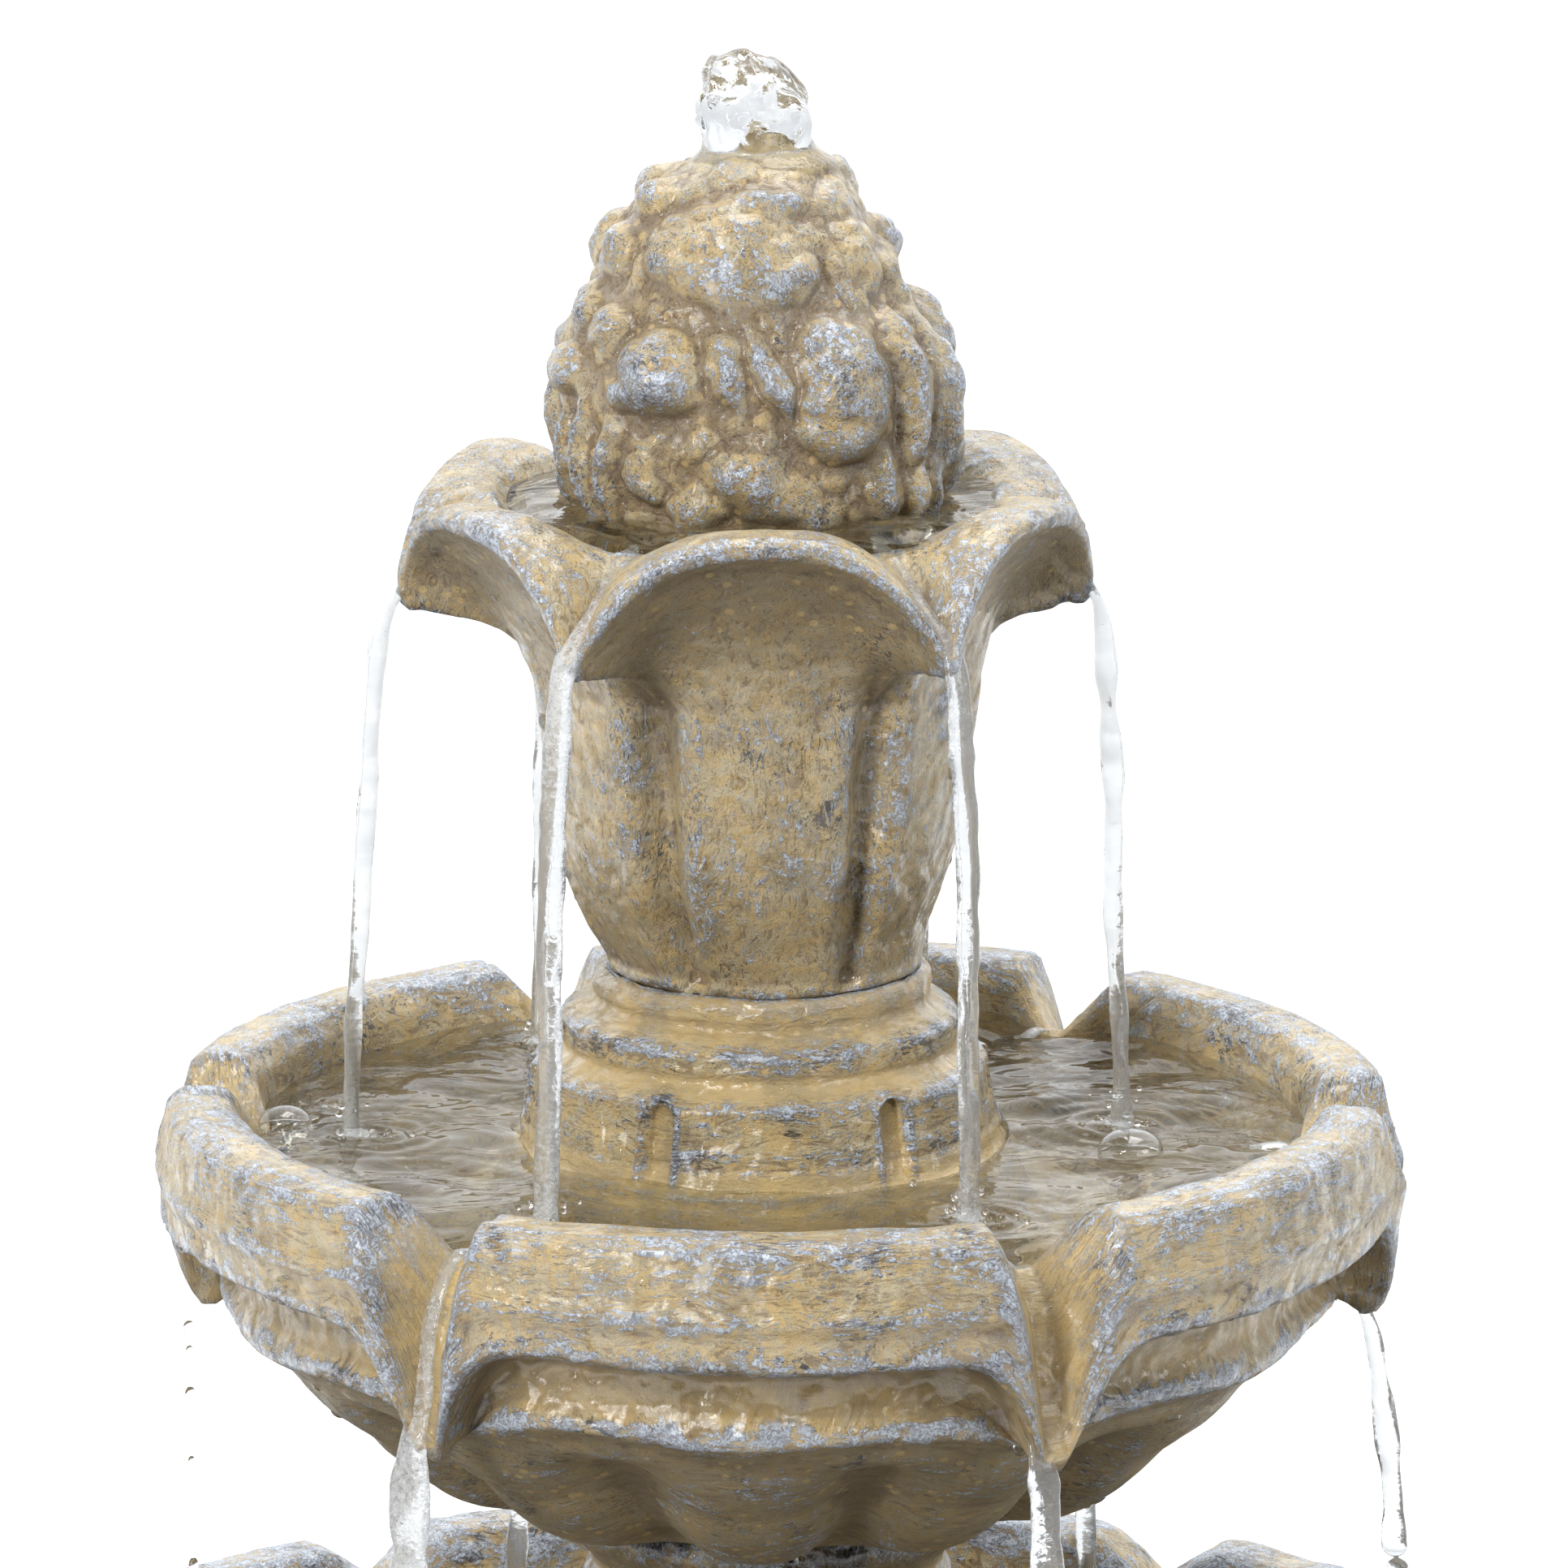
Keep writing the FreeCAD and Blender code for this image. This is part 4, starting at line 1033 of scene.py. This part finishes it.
class Nodes:
    """A short way to write the node tree of a material or a world."""

    def __init__(self, name, owner=None):
        self.owner = owner or bpy.data.materials.new(name)
        self.owner.use_nodes = True
        self.tree = self.owner.node_tree
        self.tree.nodes.clear()

    def add(self, kind, values=None, **settings):
        node = self.tree.nodes.new("ShaderNode" + kind)
        for key, value in settings.items():
            setattr(node, key, value)
        for key, value in (values or {}).items():
            self.put(node.inputs[key], value)
        return node

    def put(self, socket, value):
        if isinstance(value, bpy.types.NodeSocket):
            self.tree.links.new(value, socket)
        elif isinstance(value, bpy.types.Node):
            self.tree.links.new(value.outputs[0], socket)
        else:
            socket.default_value = value

    def place(self):
        return self.add("TexCoord").outputs["Object"]

    def attribute(self, name, kind="Fac"):
        return self.add("Attribute", attribute_name=name).outputs[kind]

    def noise(self, vector, scale, detail=3.0, roughness=0.55, distortion=0.0):
        return self.add("TexNoise", {"Vector": vector, "Scale": scale, "Detail": detail,
                                     "Roughness": roughness, "Distortion": distortion}).outputs["Fac"]

    def math(self, operation, first, second=0.0):
        return self.add("Math", {0: first, 1: second}, operation=operation).outputs[0]

    def times(self, first, second):
        return self.math("MULTIPLY", first, second)

    def plus(self, first, second):
        return self.math("ADD", first, second)

    def minus(self, first, second):
        return self.math("SUBTRACT", first, second)

    def step(self, value, low, high, to_low=0.0, to_high=1.0):
        return self.add("MapRange", {"Value": value, "From Min": low, "From Max": high, "To Min": to_low,
                                     "To Max": to_high}, interpolation_type="SMOOTHSTEP").outputs["Result"]

    def mix(self, share, first, second):
        node = self.add("Mix", {0: share, 6: first, 7: second}, data_type="RGBA")
        return node.outputs[2]

    def either(self, share, first, second):
        return self.add("MixShader", {0: share, 1: first, 2: second})

    def bump(self, height, distance, strength):
        values = {"Height": height, "Distance": distance, "Strength": strength}
        return self.add("Bump", values).outputs["Normal"]

    def principled(self, **values):
        """A principled shader. An input's name is written with _ for its spaces."""
        return self.add("BsdfPrincipled", {name.replace("_", " "): value for name, value in values.items()})

    def finish(self, shader, kind="Material"):
        self.put(self.add("Output" + kind).inputs["Surface"], shader)
        return self.owner


def colour(red, green, blue):
    """A node colour from 0-255 screen values."""
    def linear(value):
        value = value / 255
        return value / 12.92 if value <= 0.04045 else ((value + 0.055) / 1.055) ** 2.4
    return (linear(red), linear(green), linear(blue), 1)


TAN = colour(187, 172, 136)
OCHRE = colour(194, 169, 118)
OLIVE = colour(152, 139, 108)
BROWN = colour(112, 92, 70)
PALE_BLUE = colour(190, 204, 222)
SLATE = colour(128, 134, 148)
NAVY = colour(38, 38, 46)


def stone_material():
    """Cream resin: brown paint in the brush marks, painted shade in creases and on faces that look down, pale
    blue on edges and strokes, dark flecks, a wet film.
    """
    n = Nodes("cast_stone")
    place = n.place()
    brush = n.attribute("brush", "Vector")
    edge = n.attribute("edge")
    plain = n.attribute("plain")
    normal = n.add("SeparateXYZ", {"Vector": n.add("NewGeometry").outputs["Normal"]})
    below = n.step(normal.outputs["Z"], -0.05, -0.8)
    busy = n.minus(1.0, n.times(plain, 0.9))
    broad = n.noise(place, 10, 2)
    patches = n.noise(place, 40, 4, 0.6)
    blotches = n.noise(place, 150, 3, 0.5, 0.8)
    strokes = n.noise(brush, 300, 8, 0.60, 1.4)
    crossing = n.noise(place, 400, 7, 0.68, 1.8)
    fine = n.noise(place, 1700, 4, 0.65)

    base = n.mix(n.step(blotches, 0.46, 0.56), TAN, OCHRE)
    base = n.mix(n.times(plain, 0.75), base, colour(200, 172, 116))
    base = n.mix(n.times(n.step(patches, 0.44, 0.62), 0.5), base, OLIVE)
    # Brown paint settled in the brush marks, and painted shade: brown darkening where the edge attribute is
    # below zero, in creases and hollows.
    wash_and_crease_shade = n.plus(n.step(strokes, 0.47, 0.38, 0.0, 0.6), n.step(edge, -0.04, -0.5, 0.0, 0.65))
    wash_and_crease_shade = n.times(n.plus(wash_and_crease_shade, n.step(fine, 0.47, 0.36, 0.0, 0.45)), busy)
    base = n.mix(wash_and_crease_shade, base, BROWN)
    # Painted shade: faces that look down are darkened towards a dull umber.
    base = n.mix(n.times(below, 0.55), base, colour(102, 91, 74))
    spots = n.add("TexVoronoi", {"Vector": place, "Scale": 170.0, "Randomness": 1.0})
    spot = n.step(spots.outputs["Distance"], 0.32, 0.24)
    rare = n.step(n.noise(place, 60, 2), 0.52, 0.58)
    base = n.mix(n.times(n.times(spot, rare), 0.6), base, colour(206, 178, 122))

    mixed = n.plus(n.times(strokes, 0.65), n.times(crossing, 0.35))
    lift = n.plus(n.times(edge, 0.11), n.times(patches, 0.34))
    level = n.minus(n.plus(mixed, lift), n.times(below, 0.03))
    level = n.plus(level, n.times(fine, 0.10))
    blue = n.times(n.step(level, 0.793, 0.808), busy)
    rim = n.times(n.step(level, 0.765, 0.785), busy)
    veins = n.step(n.math("ABSOLUTE", n.minus(crossing, 0.5)), 0.022, 0.004)
    veined = n.step(n.noise(place, 55, 3, 0.6), 0.44, 0.58)
    flecks = n.plus(n.times(n.noise(brush, 420, 7, 0.72, 2.0), 0.62),
                    n.times(n.noise(place, 34, 3, 0.6), 0.38))
    flecks = n.plus(flecks, n.times(n.step(level, 0.70, 0.80), 0.04))
    dark = n.times(n.step(flecks, 0.594, 0.606), busy)
    dark = n.math("MAXIMUM", dark, n.times(n.times(veins, veined), n.times(busy, 0.6)))
    paint = n.mix(n.times(rim, 0.5), base, colour(100, 90, 88))
    pale = n.mix(n.step(crossing, 0.44, 0.58), SLATE, PALE_BLUE)
    paint = n.mix(n.times(blue, 0.8), paint, pale)
    paint = n.mix(n.times(dark, 0.82), paint, NAVY)

    height = n.plus(mixed, n.times(fine, 0.25))
    height = n.plus(height, n.times(blue, 0.12))
    rough_normal = n.bump(height, 0.0022, 0.9)
    film = n.plus(n.noise(place, 60, 1, 0.5, 0.6), n.times(n.noise(place, 150, 1, 0.5), 0.25))
    film = n.plus(film, n.times(mixed, 0.06))
    wet_normal = n.bump(film, 0.0065, 0.95)
    wet = n.times(n.step(broad, 0.3, 0.6, 0.8, 1.0), n.step(below, 1.0, 0.0, 0.3, 1.0))
    aslant = n.add("LayerWeight", {"Blend": 0.5}).outputs["Facing"]
    wet = n.times(wet, n.step(aslant, 0.55, 0.95, 1.0, 0.25))
    return n.finish(n.principled(
        Base_Color=paint, Roughness=n.step(patches, 0.3, 0.7, 0.40, 0.6), Normal=rough_normal,
        Coat_Weight=wet, Coat_Roughness=0.03, Coat_IOR=1.45, Coat_Normal=wet_normal))


def simple_material(name, tint, roughness, metallic=0.0, grain=600, depth=0.0002, variation=0.12):
    """A moulded or turned finish with slight mottling and a fine surface."""
    n = Nodes(name)
    place = n.place()
    mottle = n.noise(place, grain / 8, 3)
    fine = n.noise(place, grain, 3)
    darker = tuple(c * (1 - variation * 2) for c in tint[:3]) + (1,)
    paint = n.mix(mottle, darker, tint)
    return n.finish(n.principled(
        Base_Color=paint, Metallic=metallic, Normal=n.bump(fine, depth, 0.6),
        Roughness=n.step(mottle, 0.3, 0.7, roughness * 0.8, min(1.0, roughness * 1.2))))


def layered_material(name, tint, gap, roughness, metallic, scale, direction):
    """Thin layers or turns: laminations of a core, or the wire of a winding."""
    n = Nodes(name)
    place = n.place()
    bands = n.add("TexWave", {"Vector": place, "Scale": scale, "Distortion": 0.4, "Detail": 1.0},
                  bands_direction=direction).outputs["Fac"]
    paint = n.mix(n.step(bands, 0.1, 0.5), gap, tint)
    return n.finish(n.principled(Base_Color=paint, Metallic=metallic, Roughness=roughness,
                                 Normal=n.bump(bands, 0.0004, 0.9)))


def foam_material():
    """Open black foam."""
    n = Nodes("filter_foam")
    cells = n.add("TexVoronoi", {"Vector": n.place(), "Scale": 650.0}).outputs["Distance"]
    paint = n.mix(n.step(cells, 0.1, 0.6), colour(24, 25, 27), colour(66, 68, 72))
    return n.finish(n.principled(Base_Color=paint, Roughness=0.95, Normal=n.bump(cells, 0.001, 1.0)))


def tube_material():
    """Clear vinyl, slightly clouded."""
    n = Nodes("riser_tube_vinyl")
    place = n.place()
    cloud = n.noise(place, 60, 3)
    return n.finish(n.principled(
        Base_Color=colour(222, 232, 230), Roughness=n.step(cloud, 0.3, 0.7, 0.12, 0.3), IOR=1.5,
        Transmission_Weight=0.75, Normal=n.bump(n.noise(place, 300, 2), 0.0003, 0.4)))


def water_material(name, tint, ripple=0.0008, scale=170, rim=0.45, ior=1.333, milk=0.0):
    """Clear water, white where the froth attribute is high, and clear to shadow rays.

    rim is how much darker the glass is painted where it is seen aslant, a painted shade for dark surroundings
    seen through its edges, and milk the least share of white.
    """
    n = Nodes(name)
    place = n.place()
    normal = n.bump(n.noise(place, scale, 3, 0.5, 0.6), ripple, 0.7)
    facing = n.add("LayerWeight", {"Blend": 0.5, "Normal": normal}).outputs["Facing"]
    # Painted shade: the glass's colour darkens towards its edges as seen, standing for dark surroundings seen
    # through the water.
    body = n.mix(n.step(facing, 0.25, 0.95), tint, tuple(c * rim for c in tint[:3]) + (1,))
    clear = n.principled(Base_Color=body, Roughness=0.02, IOR=ior, Transmission_Weight=1.0, Normal=normal)
    foam = n.principled(Base_Color=(0.74, 0.76, 0.78, 1), Roughness=0.25, Transmission_Weight=0.35, IOR=1.2,
                        Normal=n.bump(n.noise(place, 700, 3), 0.0012, 0.9))
    broken = n.times(n.minus(n.noise(place, 420, 4, 0.7, 0.5), 0.5), 1.6)
    white = n.plus(n.attribute("froth"), broken)
    seen = n.either(n.step(white, 0.35, 0.75, milk, 0.7), clear, foam)
    path = n.add("LightPath").outputs
    unseen = n.math("MAXIMUM", path["Is Shadow Ray"], path["Is Diffuse Ray"])
    return n.finish(n.either(unseen, seen, n.add("BsdfTransparent", {"Color": (0.9, 0.91, 0.9, 1)})))


def dress_frame_nodes():
    """Finishes for the pieces that keep their CAD shape."""
    finishes = [
        (simple_material("black_rubber", colour(34, 34, 35), 0.75, grain=900, depth=0.0003),
         "foot_pads drain_plug cord_grommet middle_grommet urn_grommet cover_seal suction_cups"),
        (simple_material("pump_plastic", colour(38, 39, 42), 0.5, grain=1200, depth=0.00015),
         "pump_body back_cap impeller_cover"),
        (simple_material("cap_plastic", colour(52, 54, 58), 0.42, grain=1200, depth=0.00015),
         "intake_cover flow_dial outlet_adapter"),
        (simple_material("impeller_plastic", colour(222, 221, 212), 0.35, grain=800), "impeller_wheel"),
        (simple_material("nozzle_brass", colour(150, 134, 102), 0.55, metallic=0.4, grain=500), "nozzle"),
        (simple_material("ferrite", colour(44, 44, 47), 0.45, metallic=0.3), "rotor_magnet"),
        (simple_material("ceramic", colour(232, 229, 220), 0.3, grain=700, variation=0.04),
         "impeller_shaft front_bush rear_bush"),
        (simple_material("steel", colour(176, 178, 182), 0.32, metallic=1.0, grain=900),
         "hose_clamp clamp_screw cap_screws"),
        (layered_material("core_laminations", colour(120, 122, 126), colour(30, 30, 32), 0.45, 0.9, 500, "Y"),
         "stator_core"),
        (layered_material("copper_winding", colour(190, 104, 58), colour(70, 30, 16), 0.3, 1.0, 400, "Z"),
         "stator_coil"),
        (tube_material(), "riser_tube"),
        (foam_material(), "filter_foam"),
    ]
    for material, names in finishes:
        paint_all([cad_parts[name] for name in names.split()], material)


def paint_all(pieces, material):
    """Gives every piece one material and no other."""
    for piece in pieces:
        piece.data.materials.clear()
        piece.data.materials.append(material)


# ---------------------------------------------------------------- studio

SURROUND = 2.1


def studio():
    """A white floor, a surround that is bright above and behind, and soft lamps."""
    corners = np.array([(-60, -60, 0), (60, -60, 0), (60, 60, 0), (-60, 60, 0)], float)
    floor = mesh_from("floor", corners, np.array([[0, 1, 2, 3]]), smooth=False)
    n = Nodes("floor_paper")
    bounced = n.add("LightPath").outputs["Is Diffuse Ray"]
    tone = n.mix(n.noise(n.place(), 3, 2), colour(243, 243, 243), colour(250, 250, 250))
    seen = n.principled(Base_Color=tone, Roughness=0.95, Emission_Color=(1, 1, 1, 1), Emission_Strength=0.25,
                        Specular_IOR_Level=0.0)
    grey = n.add("BsdfDiffuse", {"Color": (0.30, 0.29, 0.28, 1)})
    floor.data.materials.append(n.finish(n.either(bounced, seen, grey)))

    n = Nodes("surround", bpy.data.worlds.new("surround"))
    direction = n.add("SeparateXYZ", {0: n.add("TexCoord").outputs["Generated"]}).outputs
    upwards = ramp(n, direction["Z"], (0.0, 0.10), (0.5, 0.40), (1.0, 0.66))
    behind = ramp(n, direction["Y"], (0.0, 0.0), (0.6, 0.35), (1.0, 0.6))
    total = n.add("Math", {0: upwards, 1: SURROUND, 2: n.times(behind, SURROUND)}, operation="MULTIPLY_ADD")
    sky = n.add("Background", {"Color": (0.95, 0.975, 1.0, 1), "Strength": total})
    bpy.context.scene.world = n.finish(sky, "World")

    lamp("key", (-1.2, -2.2, 2.4), (0, 0, 0.75), 0.85, 66, (1.0, 0.985, 0.96))
    lamp("window", (-1.6, -2.28, 1.42), (0, 0, 0.62), 0.4, 32, (1, 1, 1))
    lamp("fill", (2.3, -1.5, 1.9), (0, 0, 0.7), 1.2, 34, (0.96, 0.98, 1.0))
    lamp("top", (0.3, 0.7, 3.1), (0, 0, 0.8), 1.5, 44, (1, 1, 1))
    bpy.context.scene.view_settings.view_transform = "Standard"


def ramp(n, value, *stops):
    """A smooth curve through (position, value) stops, as a node."""
    node = n.add("FloatCurve", {"Factor": 1.0, "Value": value})
    curve = node.mapping.curves[0]
    for point, (position, level) in zip(curve.points, (stops[0], stops[-1])):
        point.location = (position, level)
    for position, level in stops[1:-1]:
        curve.points.new(position, level)
    node.mapping.update()
    return node.outputs[0]


def lamp(name, where, target, size, power, tint):
    """A square lamp of size metres and power watts."""
    data = bpy.data.lights.new(name, "AREA")
    data.size = size
    data.energy = power
    data.color = tint
    aimed(bpy.data.objects.new(name, data), where, target)


def aimed(thing, where, target):
    """Puts a lamp or camera at a place and turns it to look at another."""
    bpy.context.scene.collection.objects.link(thing)
    thing.location = where
    thing.rotation_mode = "QUATERNION"
    thing.rotation_quaternion = (Vector(target) - Vector(where)).to_track_quat("-Z", "Y")


def camera():
    """A long lens from the front, a little above the middle basin's rim."""
    data = bpy.data.cameras.new("camera")
    data.sensor_width = 36
    data.lens = 167
    data.clip_end = 200
    view = bpy.data.objects.new("camera", data)
    aimed(view, (0.0068, -2.6, 1.298), (0.0068, 0, 0.726))
    bpy.context.scene.camera = view


def main():
    camera()
    studio()
    castings = [finial(), urn(), upper_plinth(), middle_basin(), column(), lower_basin(), base_pedestal()]
    paint_all(castings, stone_material())
    dress_frame_nodes()
    running = water_material("running_water", (0.75, 0.76, 0.77, 1), rim=0.74, milk=0.20)
    paint_all(top_streams() + middle_streams(), running)
    jet = water_material("bubbling_water", (0.66, 0.67, 0.68, 1), ripple=0.0012, rim=0.6)
    paint_all(bubbler(), jet)
    still = water_material("pool_water", (0.57, 0.54, 0.44, 1), ripple=0.006, scale=26, rim=0.9, ior=1.2)
    paint_all(pools(), still)
    wet = [(0, "crown", 90, 901, 840, 955), (1, "top_tier", 120, 902, 668, 840),
           (2, "top_tier", 70, 903, 600, 656), (3, "middle_tier", 220, 904, 470, 616)]
    drops = [drops_on(castings[which], *values) for which, *values in wet]
    clear = water_material("drops", (1, 1, 1, 1), ripple=0.0001)
    paint_all(drops + splashes() + floating_bubbles() + drips(), clear)


main()
